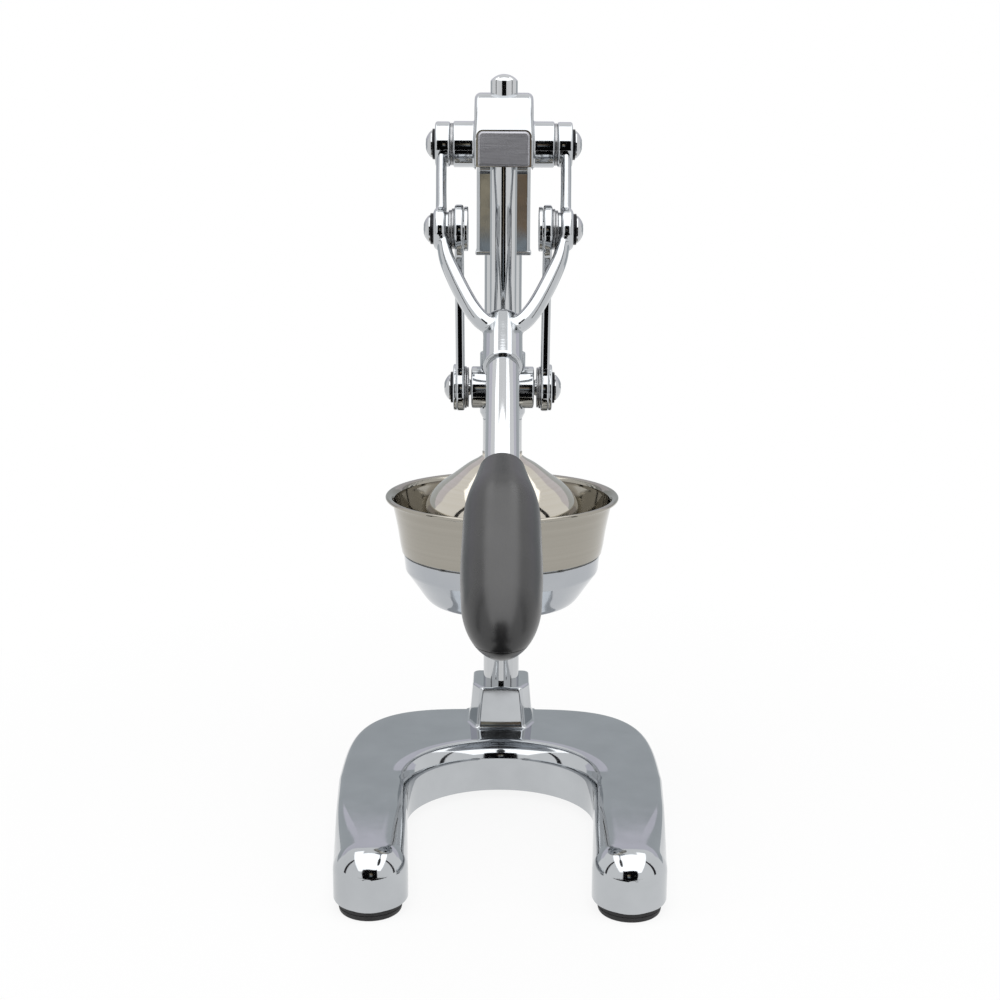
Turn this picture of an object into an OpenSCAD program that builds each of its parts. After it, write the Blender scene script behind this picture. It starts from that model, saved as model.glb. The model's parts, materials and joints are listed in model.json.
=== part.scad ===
// Lever citrus juice press, free standing.
// The plunger's axis is the working axis. The front, where the handle points, is towards -Y, up is +Z.
// Lengths called reach or set back are measured from the plunger's axis, heights from the table.
// At rest the handle is down and the bell is pressed home in the strainer.

/* [Base] */
// Width across the two legs
base_w = 184; // [172:1:196]
// How far the back edge is set behind the plunger's axis
base_back = 95; // [94:1:100]
// How far the toes reach in front of the plunger's axis
toe_reach = 127; // [115:1:140]
// Height of the casting's top face above the table
base_top = 35; // [32:1:38]
// Width of the archway between the legs
arch_w = 106.6; // [101.6:1:110.6]
// How far the archway is cut in behind the plunger's axis
arch_back = 31; // [28:1:33]
// Where the legs turn into the bow, in front of the plunger's axis
bow_centre = 18; // [12:1:24]
// Narrowing of the archway and of the legs at the toes
toe_draw = 6; // [4:0.5:8]
// Length of the rounded toe, seen from above
toe_round = 19; // [15:1:22]
// Radius over the toe's front, seen from the side
toe_nose = 14; // [10:1:18]
// Radius of the edge round the outside
outer_round = 4; // [2:0.5:6]
// Radius of the edge round the archway
arch_round = 11; // [8:0.5:12]
// Wall of the hollow casting
base_wall = 6; // [5:0.5:7]

/* [Feet] */
// Diameter of a rubber foot
pad_d = 33; // [28:0.5:34]
// Height of a rubber foot
pad_h = 5; // [4:0.5:7]
// Set back of the front feet from the tips of the toes
pad_inset = 17; // [16:0.5:20]
// Set in of the rear feet from the sides of the base
rear_pad_side = 40; // [36:1:46]
// Diameter of a foot screw
foot_screw_d = 5; // [4:0.5:6]

/* [Post and column] */
// How far the column's axis is set behind the plunger's axis
column_back = 77.5; // [77:0.5:79]
// Diameter of the column tube
column_d = 22; // [20:0.5:24]
// Wall of the column tube
column_wall = 2.5; // [2:0.25:3]
// Height of the post block's top above the table
post_top = 60.5; // [56.5:1:64.5]
// Width of the post block across its back
post_w = 35; // [33:0.5:37]
// Width of the post block's front face
post_front_w = 25; // [22:0.5:27]
// Widening of the post block on each side from top to bottom
post_flare = 1.8; // [1:0.2:2.5]
// Slope of the post block's front face, from top to bottom
post_rake = 0.5; // [0:0.5:3]
// Diameter of the bolt that holds the column
column_bolt_d = 10; // [8:1:12]

/* [Head and pivots] */
// Height of the lever's pivot above the table
pivot_z = 385.3; // [380:1:395]
// Width of the head casting
head_w = 31; // [30:0.5:32]
// Height of the head's top above the pivot
head_over = 26.7; // [25:0.5:30]
// Depth of the head's underside below the pivot
head_under = 11.8; // [11:0.2:12.5]
// How far the head's nose reaches in front of the plunger's axis
nose_reach = 17; // [16:0.5:19]
// Depth of the skirt round the column, below the pivot
skirt_drop = 61.9; // [55:1:70]
// Radius of the hood's upper edge, over the head's nose
hood_round = 14; // [12:0.5:16]
// How far the hood leans back over the nose
hood_lean = 2.8; // [2:0.2:4]
// Height of the nose's upright face below the hood
nose_face = 14; // [12:0.5:15]
// Radius over the head's back edge
head_round = 18; // [14:0.5:19]
// Diameter of the head's side bosses
boss_d = 24; // [22:0.5:25]
// Distance from the middle to a boss's end face
boss_x = 26.8; // [26.4:0.1:27]
// Diameter of the pivot screws' shanks
pivot_d = 9; // [8:0.5:9.5]
// Diameter of the pivot screws' domed heads
dome_d = 14; // [13:0.5:15]
// Height of a domed head
dome_h = 4.2; // [3.5:0.1:5]
// Width of the front plate
plate_w = 27.4; // [25:0.2:28]
// Height of the front plate
plate_h = 18.2; // [16.2:0.5:18.7]
// Thickness of the front plate
plate_t = 3.6; // [3:0.2:4.5]

/* [Lever] */
// Distance from the lever's pivot to the links' upper pivots
crank_r = 51.2; // [50:0.2:52.5]
// Angle of that crank below level, handle down
crank_angle = 58; // [56:0.5:60]
// Slope of the lever tube below level, handle down
lever_slope = 33; // [30:0.5:36]
// Diameter of the fork's top eyes
eye_d = 23.5; // [22:0.5:25]
// Distance from the middle to the inner face of a fork eye
fork_in = 28.4; // [28.3:0.1:28.6]
// Thickness of a fork eye
eye_t = 8; // [7.5:0.1:8.4]
// Thickness of the fork's arms along the pivot, between the pivots
arm_t = 5.6; // [5:0.1:6.5]
// Width of the fork's arms, seen from the side
arm_w = 13; // [11:0.5:15]
// Diameter of the fork's socket
socket_d = 20; // [19.4:0.1:21]
// Length of the fork's socket in front of the yoke
socket_len = 22; // [18:1:28]
// Reach of the point where the lever tube's axis enters the yoke
lever_reach = 60; // [58:0.5:62]
// Depth of that point below the lever's pivot
lever_drop = 97.7; // [95:0.5:100]
// Diameter of the lever tube
tube_d = 16.4; // [15.5:0.1:16.8]
// Wall of the lever tube
tube_wall = 2; // [1.5:0.25:3]

/* [Grip] */
// Length of the grip with its end cap
grip_len = 111.5; // [104:0.5:120]
// Largest diameter of the grip
grip_d = 36.1; // [34:0.5:38]
// Distance from the yoke's entry to the grip's upper end
grip_start = 93.5; // [88:1:100]

/* [Links] */
// Distance between a link's two pivots
link_len = 91.1; // [89:0.2:93]
// Diameter of a link's upper eye
link_top_d = 25; // [22:0.5:26]
// Diameter of a link's lower eye
link_low_d = 26; // [22:0.5:27]
// Distance from the middle to a link's inner face
link_in = 20.8; // [20.6:0.1:21]
// Thickness of a link's bar
link_t = 4.9; // [4:0.1:5]
// Width of a link's bar, seen from the side
link_w = 13; // [10:0.5:16]
// Extra thickness of the lower eye
link_low_more = 1.3; // [0.8:0.1:1.8]

/* [Plunger] */
// Diameter of the plunger rod
rod_d = 14.4; // [13.6:0.2:15.6]
// Height of the rod's domed top above the lever's pivot
rod_over = 36.2; // [34.4:0.2:42]
// Height of the dome alone
rod_dome = 3.4; // [2.4:0.2:4.4]
// Diameter of the crosshead collar
collar_d = 24.8; // [23.4:0.2:26]
// Height of the collar above its pivots
collar_up = 19.6; // [16:0.2:24]
// Depth of the collar below its pivots
collar_down = 17; // [15:0.2:20]
// Diameter of the crosshead's side bosses
cross_boss_d = 23; // [20:0.5:24]
// Distance from the middle to a crosshead boss's end face
cross_boss_x = 17.1; // [16.6:0.1:17.4]
// Diameter of the stem between collar and bell
stem_d = 21.6; // [20:0.2:22]

/* [Bell] */
// Outside diameter of the bell
bell_d = 87.6; // [84:0.2:90]
// Height of the bell from its rim to the top of its neck
bell_h = 55.2; // [54:0.2:57]
// Diameter of the bell's neck
neck_d = 22.2; // [22:0.2:23]
// Thickness of the bell's sheet
bell_t = 1.6; // [1.2:0.1:2]

/* [Strainer and bowl] */
// Outside diameter of the strainer's rolled rim
rim_d = 130; // [127:0.5:134]
// Height of the bowl's top edge above the table
bowl_z = 163.3; // [157:0.5:170]
// Height of the strainer's rim above the bowl's top edge
strainer_h = 30.5; // [26:0.5:34]
// Outside diameter of the bowl at its top edge
bowl_d = 110.2; // [108:0.2:111]
// Diameter of the strainer where it rests on the bowl
strainer_foot_d = 112.4; // [111.4:0.2:114]
// Wall of the bowl casting
bowl_wall = 3.5; // [3:0.1:4]
// Height of the band round the top of the bowl
band_h = 9.8; // [9:0.2:11]
// Height of the bowl's cone below the band
cone_h = 17; // [14:0.5:20]
// Diameter of the bowl at the foot of its cone
cone_foot_d = 85; // [78:0.5:90]
// Outside diameter of the spout
spout_d = 24; // [22:0.5:28]
// Height of the spout's mouth above the table
spout_z = 112; // [108:1:118]
// Thickness of the strainer's sheet
sheet = 1; // [0.8:0.1:1.2]
// Number of slots in the strainer's floor
slot_count = 24; // [12:1:30]
// Diameter of the reamer's foot
reamer_d = 68; // [60:1:70]
// Height of the reamer
reamer_h = 40; // [36:0.5:40.4]
// Number of ribs on the reamer
rib_count = 10; // [6:1:14]

/* [Hidden] */
$fn = 72;
// Overrun of every cut
over = 1;
// Clearance of a fixed fit, on the radius
fixed_gap = 0.05;
// Clearance of a running fit, on the radius
run_gap = 0.06;
// Clearance between faces that pass each other
side_gap = 0.3;
// Clearance between faces that bear on each other
face_gap = 0.05;

// Base casting
base_low = pad_h;
base_roof = 7;
post_boss_wall = 6;
post_boss_h = 15;
post_floor = 6;
bow_r = base_back + bow_centre;
bow_power = 3.7;
bow_steps = 13;
leg_steps = 3;
toe_steps = 6;
round_steps = 6;
bottom_edge = 1.2;
toe_tip_share = 0.985;
cavity_end_share = 0.97;
round_share = 0.49;
toe_start = toe_reach - toe_round;
leg_in = arch_w / 2;
leg_out = base_w / 2;
toe_in = leg_in - toe_draw;
toe_out = leg_out - toe_draw;
toe_mid = (toe_in + toe_out) / 2;
toe_half = (toe_out - toe_in) / 2;
cavity_top = base_top - base_roof;
post_boss_r = column_d / 2 + post_boss_wall;
post_boss_low = base_top - post_boss_h;
column_foot = post_boss_low + post_floor;
bolt_clear = 0.3;

// Feet
front_pad = [toe_mid, toe_reach - pad_inset];
rear_pad_inset = 26;
rear_pad_x = base_w / 2 - rear_pad_side;
rear_pad_f = bow_centre - bow_r + rear_pad_inset;
foot_boss_d = 18;
foot_boss_len = 17;
foot_head_d = 9.5;
foot_head_h = 2.6;
foot_head_up = 0.8;
foot_screw_len = 12;
foot_recess_gap = 0.5;
pad_bevel = 0.8;

// Post block
post_back = 16;
post_front = 18.5;
post_edge = 3;
post_shoulder_share = 0.45;
post_foot = 3;
corner_steps = 3;

// Column fastening
plug_len = 30;
washer_d = 21;
washer_t = 2;
hex_af = 17;
hex_h = 6.4;
bolt_grip = 24;
head_cap = 15;
column_top = pivot_z + head_over - head_cap;
grub_d = 6;
socket_key = 3;
key_depth = 2.5;

// Head casting
head_top = pivot_z + head_over;
head_low = pivot_z - head_under;
skirt_wall = 4.6;
head_back = column_back + column_d / 2 + skirt_wall;
skirt_front = column_back - head_w / 2;
skirt_low = pivot_z - skirt_drop;
skirt_fillet = 4;
lip_h = 2.6;
lip_out = 0.7;
head_edge = 3.5;
pocket_gap = 0.8;
plate_proud = 1.2;
plate_edge = 1.2;
bush_wall = 2.5;
bush_len = 26;
pin_end = 13.6;
hex_key = 5;
dome_rim = 1;

// Pivot stack along the top pivot, from the middle outwards
fork_out = fork_in + eye_t;
cap_washer_t = 1.5;
cap_washer_d = 16;
thrust_d = 22;
dome_seat = fork_out + cap_washer_t + 2 * face_gap;

// Middle pivots
crank_f = crank_r * cos(crank_angle);
crank_z = pivot_z - crank_r * sin(crank_angle);
elbow_d = 22;
nut_out = link_in - side_gap;
nut_t = 2.1;
nut_d = 23;
link_top_relief = 0.3;
link_top_out = link_in + link_t - link_top_relief;
mid_washer_d = 21;

// Bottom pivots, where the links meet the crosshead
cross_z = crank_z - sqrt(link_len * link_len - crank_f * crank_f);
link_low_out = link_in + link_t + link_low_more;
low_washer_t = 1;
low_washer_gap = 0.2;
low_washer_d = 23;
low_cap_d = 17;
low_pin_end = cross_boss_x + side_gap;

// Plunger
collar_edge = 1.6;
bell_nut_af = 22;
bell_nut_h = 6;
rod_tail = 2.5;
guide_gap = 0.1;

// Bell
neck_len = 6.5;
bell_steps = 3;

// Strainer and reamer
rim_bead = 1.1;
floor_drop = 6;
floor_z = bowl_z - floor_drop;
peel_gap = 6;
bell_rim_z = floor_z + sheet + peel_gap;
stem_foot = bell_rim_z + bell_h;
bowl_in_r = bowl_d / 2 - bowl_wall;
strainer_low_r = bowl_in_r - side_gap;
strainer_corner = 1.2;
slot_w = 2.2;
slot_in = 37.5;
slot_out = 47.5;
wall_steps = 4;
peg_d = 10;
peg_len = sheet;
reamer_t = 1.6;
reamer_steps = 3;
crown_t = 9.6;
crown_rise = 3.2;
rib_out = 2.2;
rib_t = 2.4;

// Bowl casting
band_taper = 0.9;
bowl_steps = 3;
neck_rise_share = 0.4;
wall_rise_share = 0.6;
foot_wall_share = 0.8;
bowl_floor_drop = 3;
spout_neck = 5;
spout_wall = 2.5;
sleeve_wall = 5;
sleeve_drop = 33;
sleeve_low = bowl_z - sleeve_drop;
sleeve_h = 36;
bracket_w = 22;
bracket_drop = 31;
bracket_low = bowl_z - bracket_drop;
bracket_h = 26;

// Fork
fork_steps = 4;
arm_sides = 16;
arm_power = 2.6;
socket_back = 15;
socket_edge = 3;
tube_back = 4;

// Grip
grip_wall_gap = 0.05;
cap_gap = 0.25;
grip_steps = 5;

// Lofted skin through rings of points, all with the same count, each turning anticlockwise
// as seen from beyond the last ring
module loft(rings) {
    n = len(rings[0]);
    m = len(rings);
    points = [for (ring = rings) each ring];
    sides = [for (j = [0:m - 2], i = [0:n - 1], k = [0, 1])
        let (a = j * n + i, b = j * n + (i + 1) % n)
        k == 0 ? [a, b + n, b] : [a, a + n, b + n]];
    first = [for (i = [1:n - 2]) [0, i, i + 1]];
    last = [for (i = [1:n - 2]) [(m - 1) * n, (m - 1) * n + i + 1, (m - 1) * n + i]];
    polyhedron(points = points, faces = concat(sides, first, last));
}

// Smooth curve through points: each stretch is a cubic that leaves along its neighbours' chord
function at(list, i) = list[max(0, min(len(list) - 1, i))];
function cubic(a, b, c, d, t) =
    0.5 * ((2 * b) + (c - a) * t + (2 * a - 5 * b + 4 * c - d) * t * t
    + (3 * b - a - 3 * c + d) * t * t * t);
function smooth_curve(list, steps) = concat(
    [for (i = [0:len(list) - 2], k = [0:steps - 1])
        cubic(at(list, i - 1), list[i], list[i + 1], at(list, i + 2), k / steps)],
    [list[len(list) - 1]]);

// A domed screw with a hexagon key, head up, shank down from the head's seat
module dome_screw(shank_len, shank_d = pivot_d) {
    ball_r = (pow(dome_d / 2, 2) + pow(dome_h - dome_rim, 2)) / (2 * (dome_h - dome_rim));
    difference() {
        union() {
            cylinder(h = dome_rim, r = dome_d / 2);
            intersection() {
                translate([0, 0, dome_h - ball_r]) sphere(r = ball_r);
                translate([0, 0, dome_rim / 2]) cylinder(h = dome_h, r = dome_d / 2);
            }
            translate([0, 0, -shank_len]) cylinder(h = shank_len + dome_rim / 2, r = shank_d / 2);
        }
        translate([0, 0, dome_h - key_depth])
            cylinder(h = key_depth + over, r = hex_key / 2 / cos(30), $fn = 6);
    }
}

// A grub screw with a hexagon key, tip at the origin, head along +Z
module grub_screw(length, d = grub_d) {
    difference() {
        cylinder(h = length, r = d / 2 - fixed_gap);
        translate([0, 0, length - key_depth])
            cylinder(h = key_depth + over, r = socket_key / 2 / cos(30), $fn = 6);
    }
}

module ring(outer, inner, height) {
    difference() {
        cylinder(h = height, r = outer);
        translate([0, 0, -over]) cylinder(h = height + 2 * over, r = inner);
    }
}

// Puts the working axis where the whole press is centred over the origin
module placed() {
    translate([0, axis_y, 0]) children();
}

// Lays a shape built along +Z on the pivot direction, on one side: side is 1 for right, -1 for left
module along_pivot(side, forward, height) {
    translate([0, -forward, height]) rotate([0, side * 90, 0]) children();
}

// Cylinder along the pivot direction between two distances from the middle
module pivot_disc(side, forward, height, from, to, r) {
    along_pivot(side, forward, height) translate([0, 0, from]) cylinder(h = to - from, r = r);
}

module pivot_ring(side, forward, height, from, to, outer, inner) {
    along_pivot(side, forward, height) translate([0, 0, from]) ring(outer, inner, to - from);
}

// Outline of the base: each station has a point on the archway and one on the outside
function arch_point(a) =
    let (r = 1 / sqrt(pow(sin(a) / leg_in, 2) + pow(cos(a) / (arch_back + bow_centre), 2)))
    [r * sin(a), bow_centre - r * cos(a)];
function outer_point(a) =
    let (r = pow(pow(sin(a) / leg_out, bow_power) + pow(cos(a) / bow_r, bow_power), -1 / bow_power))
    [r * sin(a), bow_centre - r * cos(a)];
function bow_station(a) = [arch_point(a), outer_point(a), arch_round, base_top];
function leg_station(t) = let (f = bow_centre + (toe_start - bow_centre) * t)
    [[leg_in - toe_draw * t, f], [leg_out - toe_draw * t, f], arch_round, nose_height(f)];
function toe_station(t) =
    let (f = toe_start + toe_round * toe_tip_share * sin(90 * t),
        w = toe_half * sqrt(1 - pow((f - toe_start) / toe_round, 2)))
    [[toe_mid - w, f], [toe_mid + w, f], arch_round, nose_height(f)];
function nose_height(f) = let (d = max(0, f - (toe_reach - toe_nose)))
    base_top - toe_nose + sqrt(pow(toe_nose, 2) - d * d);
half_stations = concat(
    [for (i = [0:bow_steps - 1]) bow_station(90 * i / bow_steps)],
    [for (i = [0:leg_steps - 1]) leg_station(i / leg_steps)],
    [for (i = [0:toe_steps]) toe_station(i / toe_steps)]);

// Cross-section of the base at a station: inner wall, rounded top edges, outer wall
function base_section(w, r_in, r_out, top) = concat(
    [[bottom_edge * w / (w + bottom_edge), base_low], [0, base_low + bottom_edge]],
    [for (i = [0:round_steps]) let (a = 90 * i / round_steps)
        [r_in * (1 - cos(a)), top - r_in * (1 - sin(a))]],
    [for (i = [0:round_steps]) let (a = 90 * i / round_steps)
        [w - r_out * (1 - sin(a)), top - r_out * (1 - cos(a))]],
    [[w, base_low + bottom_edge], [w - bottom_edge * w / (w + bottom_edge), base_low]]);

function base_ring(s, side) =
    let (w = norm(s[1] - s[0]),
        u = (s[1] - s[0]) / w,
        most = w * round_share,
        section = base_section(w, min(s[2], most), min(outer_round, most), s[3]))
    [for (i = [len(section) - 1:-1:0]) let (p = section[i])
        [side * (s[0][0] + u[0] * p[0]), -(s[0][1] + u[1] * p[0]), p[1]]];

base_rings = concat(
    [for (i = [len(half_stations) - 1:-1:1]) base_ring(half_stations[i], -1)],
    [for (s = half_stations) base_ring(s, 1)]);

// The hollow under the casting keeps its distance from both outlines. Its stations lie between
// those of the skin, so no corner of the hollow falls on an edge of the skin.
cavity_side = concat([for (i = [0:bow_steps - 1]) bow_station(90 * (i + 0.5) / bow_steps)],
    [leg_station(cavity_end_share)]);
function inset(s, from, to) = let (u = (s[to] - s[from]) / norm(s[to] - s[from])) s[from] + u * base_wall;
cavity_outline = concat(
    [for (s = cavity_side) let (p = inset(s, 1, 0)) [p[0], -p[1]]],
    [for (i = [len(cavity_side) - 1:-1:0]) let (p = inset(cavity_side[i], 0, 1)) [p[0], -p[1]]],
    [for (s = cavity_side) let (p = inset(s, 0, 1)) [-p[0], -p[1]]],
    [for (i = [len(cavity_side) - 1:-1:0]) let (p = inset(cavity_side[i], 1, 0)) [-p[0], -p[1]]]);

// Post block: six-sided plan, flared at its foot
function post_plan(grow, rake) =
    let (back_w = post_w / 2 + grow,
        front_w = post_front_w / 2 + grow,
        front = post_front + rake + grow / 2,
        back = post_back + min(grow, post_flare) / 2,
        shoulder = post_front * post_shoulder_share,
        edge = post_edge)
    [[-front_w, -front], [front_w, -front], [front_w + edge / 2, edge / 2 - front],
        [back_w - edge / 3, -shoulder - edge / 2], [back_w, -shoulder + edge / 2], [back_w, back - edge],
        [back_w - edge, back], [-back_w + edge, back], [-back_w, back - edge],
        [-back_w, -shoulder + edge / 2], [-back_w + edge / 3, -shoulder - edge / 2],
        [-front_w - edge / 2, edge / 2 - front]];
function post_ring(grow, rake, z) =
    [for (p = post_plan(grow, rake)) [p[0], p[1] + column_back, z]];
post_rings = concat(
    [for (k = [0:corner_steps]) let (a = 90 * k / corner_steps) post_ring(
        post_flare + post_foot * (1 - sin(a)), post_rake,
        base_top + post_foot * (1 - cos(a)) - (k == 0 ? post_foot / 2 : 0))],
    [for (k = [0:corner_steps]) let (a = 90 * k / corner_steps) post_ring(
        -post_edge / 2 * (1 - cos(a)), -post_edge / 3 * (1 - cos(a)),
        post_top - post_edge / 2 * (1 - sin(a)))]);

function foot_places() = [[-front_pad[0], -front_pad[1]], [front_pad[0], -front_pad[1]],
    [-rear_pad_x, -rear_pad_f], [rear_pad_x, -rear_pad_f]];

module base_casting() {
    color([0.74, 0.76, 0.78]) placed() difference() {
        union() {
            difference() {
                loft(base_rings);
                translate([0, 0, base_low - over])
                    linear_extrude(height = cavity_top - base_low + over) polygon(cavity_outline);
            }
            loft(post_rings);
            translate([0, column_back, post_boss_low])
                cylinder(h = base_top - post_boss_low - base_roof / 2, r = post_boss_r);
            for (p = foot_places()) translate([p[0], p[1], base_low])
                cylinder(h = cavity_top - base_low + base_roof / 3, r = foot_boss_d / 2);
        }
        translate([0, column_back, column_foot])
            cylinder(h = post_top, r = column_d / 2 + fixed_gap);
        translate([0, column_back, post_boss_low - over])
            cylinder(h = column_foot, r = column_bolt_d / 2 + bolt_clear);
        for (p = foot_places()) translate([p[0], p[1], base_low - over])
            cylinder(h = foot_boss_len + over, r = foot_screw_d / 2 + fixed_gap);
    }
}

module foot_pad(i) {
    p = foot_places()[i];
    color([0.09, 0.09, 0.1]) placed() translate([p[0], p[1], 0]) difference() {
        rotate_extrude() polygon([[0, 0], [pad_d / 2 - pad_bevel, 0], [pad_d / 2, pad_bevel],
            [pad_d / 2, pad_h - pad_bevel / 2], [pad_d / 2 - pad_bevel / 2, pad_h], [0, pad_h]]);
        translate([0, 0, -over])
            cylinder(h = foot_head_up + foot_head_h + over, r = foot_head_d / 2 + foot_recess_gap);
        cylinder(h = pad_h + over, r = foot_screw_d / 2 + fixed_gap);
    }
}

module foot_pad_front_left() { foot_pad(0); }
module foot_pad_front_right() { foot_pad(1); }
module foot_pad_rear_left() { foot_pad(2); }
module foot_pad_rear_right() { foot_pad(3); }

module foot_screws() {
    color([0.6, 0.6, 0.6]) placed() for (p = foot_places()) translate([p[0], p[1], foot_head_up])
        difference() {
            union() {
                cylinder(h = foot_head_h, r = foot_head_d / 2);
                cylinder(h = foot_head_h + foot_screw_len, r = foot_screw_d / 2);
            }
            translate([0, 0, -over])
                cylinder(h = foot_head_h / 2 + over, r = socket_key / 2 / cos(30), $fn = 6);
        }
}

module column_tube() {
    color([0.83, 0.84, 0.85]) placed() translate([0, column_back, column_foot])
        ring(column_d / 2, column_d / 2 - column_wall, column_top - column_foot);
}

module column_plug() {
    color([0.55, 0.56, 0.58]) placed() translate([0, column_back, column_foot])
        ring(column_d / 2 - column_wall - fixed_gap, column_bolt_d / 2 + fixed_gap, plug_len);
}

module column_washer() {
    color([0.62, 0.62, 0.63]) placed() translate([0, column_back, post_boss_low - washer_t])
        ring(washer_d / 2, column_bolt_d / 2 + bolt_clear, washer_t);
}

module column_bolt() {
    color([0.5, 0.5, 0.52]) placed() translate([0, column_back, post_boss_low - washer_t - hex_h]) {
        cylinder(h = hex_h, r = hex_af / 2 / cos(30), $fn = 6);
        cylinder(h = hex_h + washer_t + bolt_grip, r = column_bolt_d / 2);
    }
}

// Bowl casting: outside and inside outlines of the turned bowl, from the top edge down
band_low = bowl_z - band_h;
cone_low = band_low - cone_h;
band_r = bowl_d / 2 - band_taper;
bowl_foot = cone_low - bowl_floor_drop;
spout_top = bowl_foot - spout_neck;
bowl_outside = concat(
    [[0, bowl_z], [bowl_d / 2, bowl_z]],
    smooth_curve([[bowl_d / 2 - band_taper / 8, bowl_z - band_h / 3], [band_r, band_low],
        [(band_r + cone_foot_d / 2) / 2, (band_low + cone_low) / 2], [cone_foot_d / 2, cone_low],
        [cone_foot_d / 2 - bowl_wall, bowl_foot + bowl_floor_drop / 5]], bowl_steps),
    [[spout_d / 2 + spout_neck, spout_top + spout_neck * neck_rise_share],
        [spout_d / 2, spout_top - spout_neck / 2], [spout_d / 2, spout_z], [0, spout_z]]);
bowl_inside = [[0, bowl_z + over], [bowl_in_r, bowl_z + over],
    [bowl_in_r, band_low + bowl_wall * wall_rise_share],
    [cone_foot_d / 2 - bowl_wall * foot_wall_share, cone_low + bowl_wall * wall_rise_share],
    [spout_d / 2, spout_top + spout_neck * neck_rise_share + bowl_wall],
    [spout_d / 2 - spout_wall, spout_top],
    [spout_d / 2 - spout_wall, spout_z - over], [0, spout_z - over]];

module bowl_casting() {
    color([0.7, 0.74, 0.78]) placed() difference() {
        union() {
            rotate_extrude() polygon(bowl_outside);
            translate([-bracket_w / 2, cone_foot_d / 2 - bowl_wall, bracket_low])
                cube([bracket_w, column_back - cone_foot_d / 2, bracket_h]);
            translate([0, column_back, sleeve_low]) cylinder(h = sleeve_h, r = column_d / 2 + sleeve_wall);
        }
        rotate_extrude() polygon(bowl_inside);
        translate([0, column_back, sleeve_low - over])
            cylinder(h = sleeve_h + 2 * over, r = column_d / 2 + fixed_gap);
        translate([0, column_back, sleeve_low + sleeve_h / 2]) rotate([-90, 0, 0])
            cylinder(h = column_d + sleeve_wall, r = grub_d / 2);
    }
}

module bowl_set_screw() {
    color([0.45, 0.45, 0.47]) placed()
        translate([0, column_back + column_d / 2 + fixed_gap, sleeve_low + sleeve_h / 2])
            rotate([-90, 0, 0]) grub_screw(sleeve_wall - fixed_gap);
}

// Strainer: rolled rim, tapered wall, foot that rests on the bowl, slotted floor
strainer_rim_z = bowl_z + strainer_h;
rim_lip = 1.5;
wall_top_r = rim_d / 2 - 2 * rim_bead - rim_lip;
wall_mid_shares = [[0.56, 0.47], [0.85, 0.15]];
function wall_point(share) = [wall_top_r + (strainer_foot_d / 2 - wall_top_r) * share[0],
    bowl_z + strainer_h * share[1]];
strainer_outline = smooth_curve([[wall_top_r, strainer_rim_z - 2 * rim_bead],
    wall_point(wall_mid_shares[0]), wall_point(wall_mid_shares[1]),
    [strainer_foot_d / 2, bowl_z + sheet]], wall_steps);

module strainer_bowl() {
    color([0.74, 0.72, 0.67]) placed() difference() {
        union() {
            rotate_extrude() polygon(concat(
                [[wall_top_r - sheet, strainer_rim_z]], [[wall_top_r + sheet, strainer_rim_z]],
                strainer_outline,
                [[strainer_foot_d / 2 - sheet, bowl_z], [strainer_low_r, bowl_z],
                    [strainer_low_r, floor_z + strainer_corner],
                    [strainer_low_r - strainer_corner, floor_z],
                    [peg_d / 2 + fixed_gap, floor_z], [peg_d / 2 + fixed_gap, floor_z + sheet],
                    [strainer_low_r - strainer_corner, floor_z + sheet],
                    [strainer_low_r - sheet, floor_z + strainer_corner + sheet / 2],
                    [strainer_low_r - sheet, bowl_z + sheet],
                    [strainer_foot_d / 2 - 2 * sheet, bowl_z + sheet]],
                [for (i = [len(strainer_outline) - 2:-1:0])
                    [strainer_outline[i][0] - sheet, strainer_outline[i][1]]]));
            translate([0, 0, strainer_rim_z]) rotate_extrude()
                translate([rim_d / 2 - rim_bead, 0]) circle(r = rim_bead);
            translate([0, 0, strainer_rim_z + rim_bead - sheet / 2]) rotate_extrude()
                polygon([[wall_top_r - sheet, -rim_bead], [wall_top_r, 0], [rim_d / 2 - rim_bead, sheet / 2],
                    [rim_d / 2 - rim_bead, -sheet], [wall_top_r, -rim_bead - sheet]]);
        }
        for (i = [0:slot_count - 1]) rotate([0, 0, 360 * i / slot_count])
            translate([slot_in, -slot_w / 2, floor_z - over])
                cube([slot_out - slot_in, slot_w, sheet + 2 * over]);
    }
}

// Reamer: hollow ribbed cone with a peg that centres it in the strainer's floor
reamer_z = floor_z + sheet;
reamer_shares = [[1, 0], [0.985, 0.06], [0.9, 0.24], [0.72, 0.52], [0.48, 0.78], [0.24, 0.94], [0.1, 0.99]];
reamer_outline = smooth_curve([for (s = reamer_shares) [s[0] * reamer_d / 2, s[1] * reamer_h]],
    reamer_steps);

module reamer_cone() {
    color([0.76, 0.75, 0.71]) placed() translate([0, 0, reamer_z]) {
        difference() {
            union() {
                rotate_extrude() polygon(concat([[0, 0]], reamer_outline, [[0, reamer_h]]));
                for (i = [0:rib_count - 1]) rotate([90, 0, 360 * i / rib_count])
                    translate([0, 0, -rib_t / 2]) linear_extrude(height = rib_t) polygon(concat([[0, 0]],
                        [for (p = reamer_outline)
                            p + [rib_out * p[1] / reamer_h, rib_out * p[1] / reamer_h / 4]],
                        [[0, reamer_h]]));
            }
            rotate_extrude() polygon(concat([[0, -over], [reamer_d / 2 - reamer_t, -over]],
                [for (p = reamer_outline) if (p[0] > peg_d) [p[0] - reamer_t * sqrt(2), p[1]]],
                [[peg_d, reamer_h - crown_t], [peg_d / 2, reamer_h - crown_t + crown_rise],
                    [peg_d / 2, -over]]));
        }
        translate([0, 0, -peg_len]) cylinder(h = peg_len + reamer_h / 2, r = peg_d / 2);
    }
}

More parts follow.
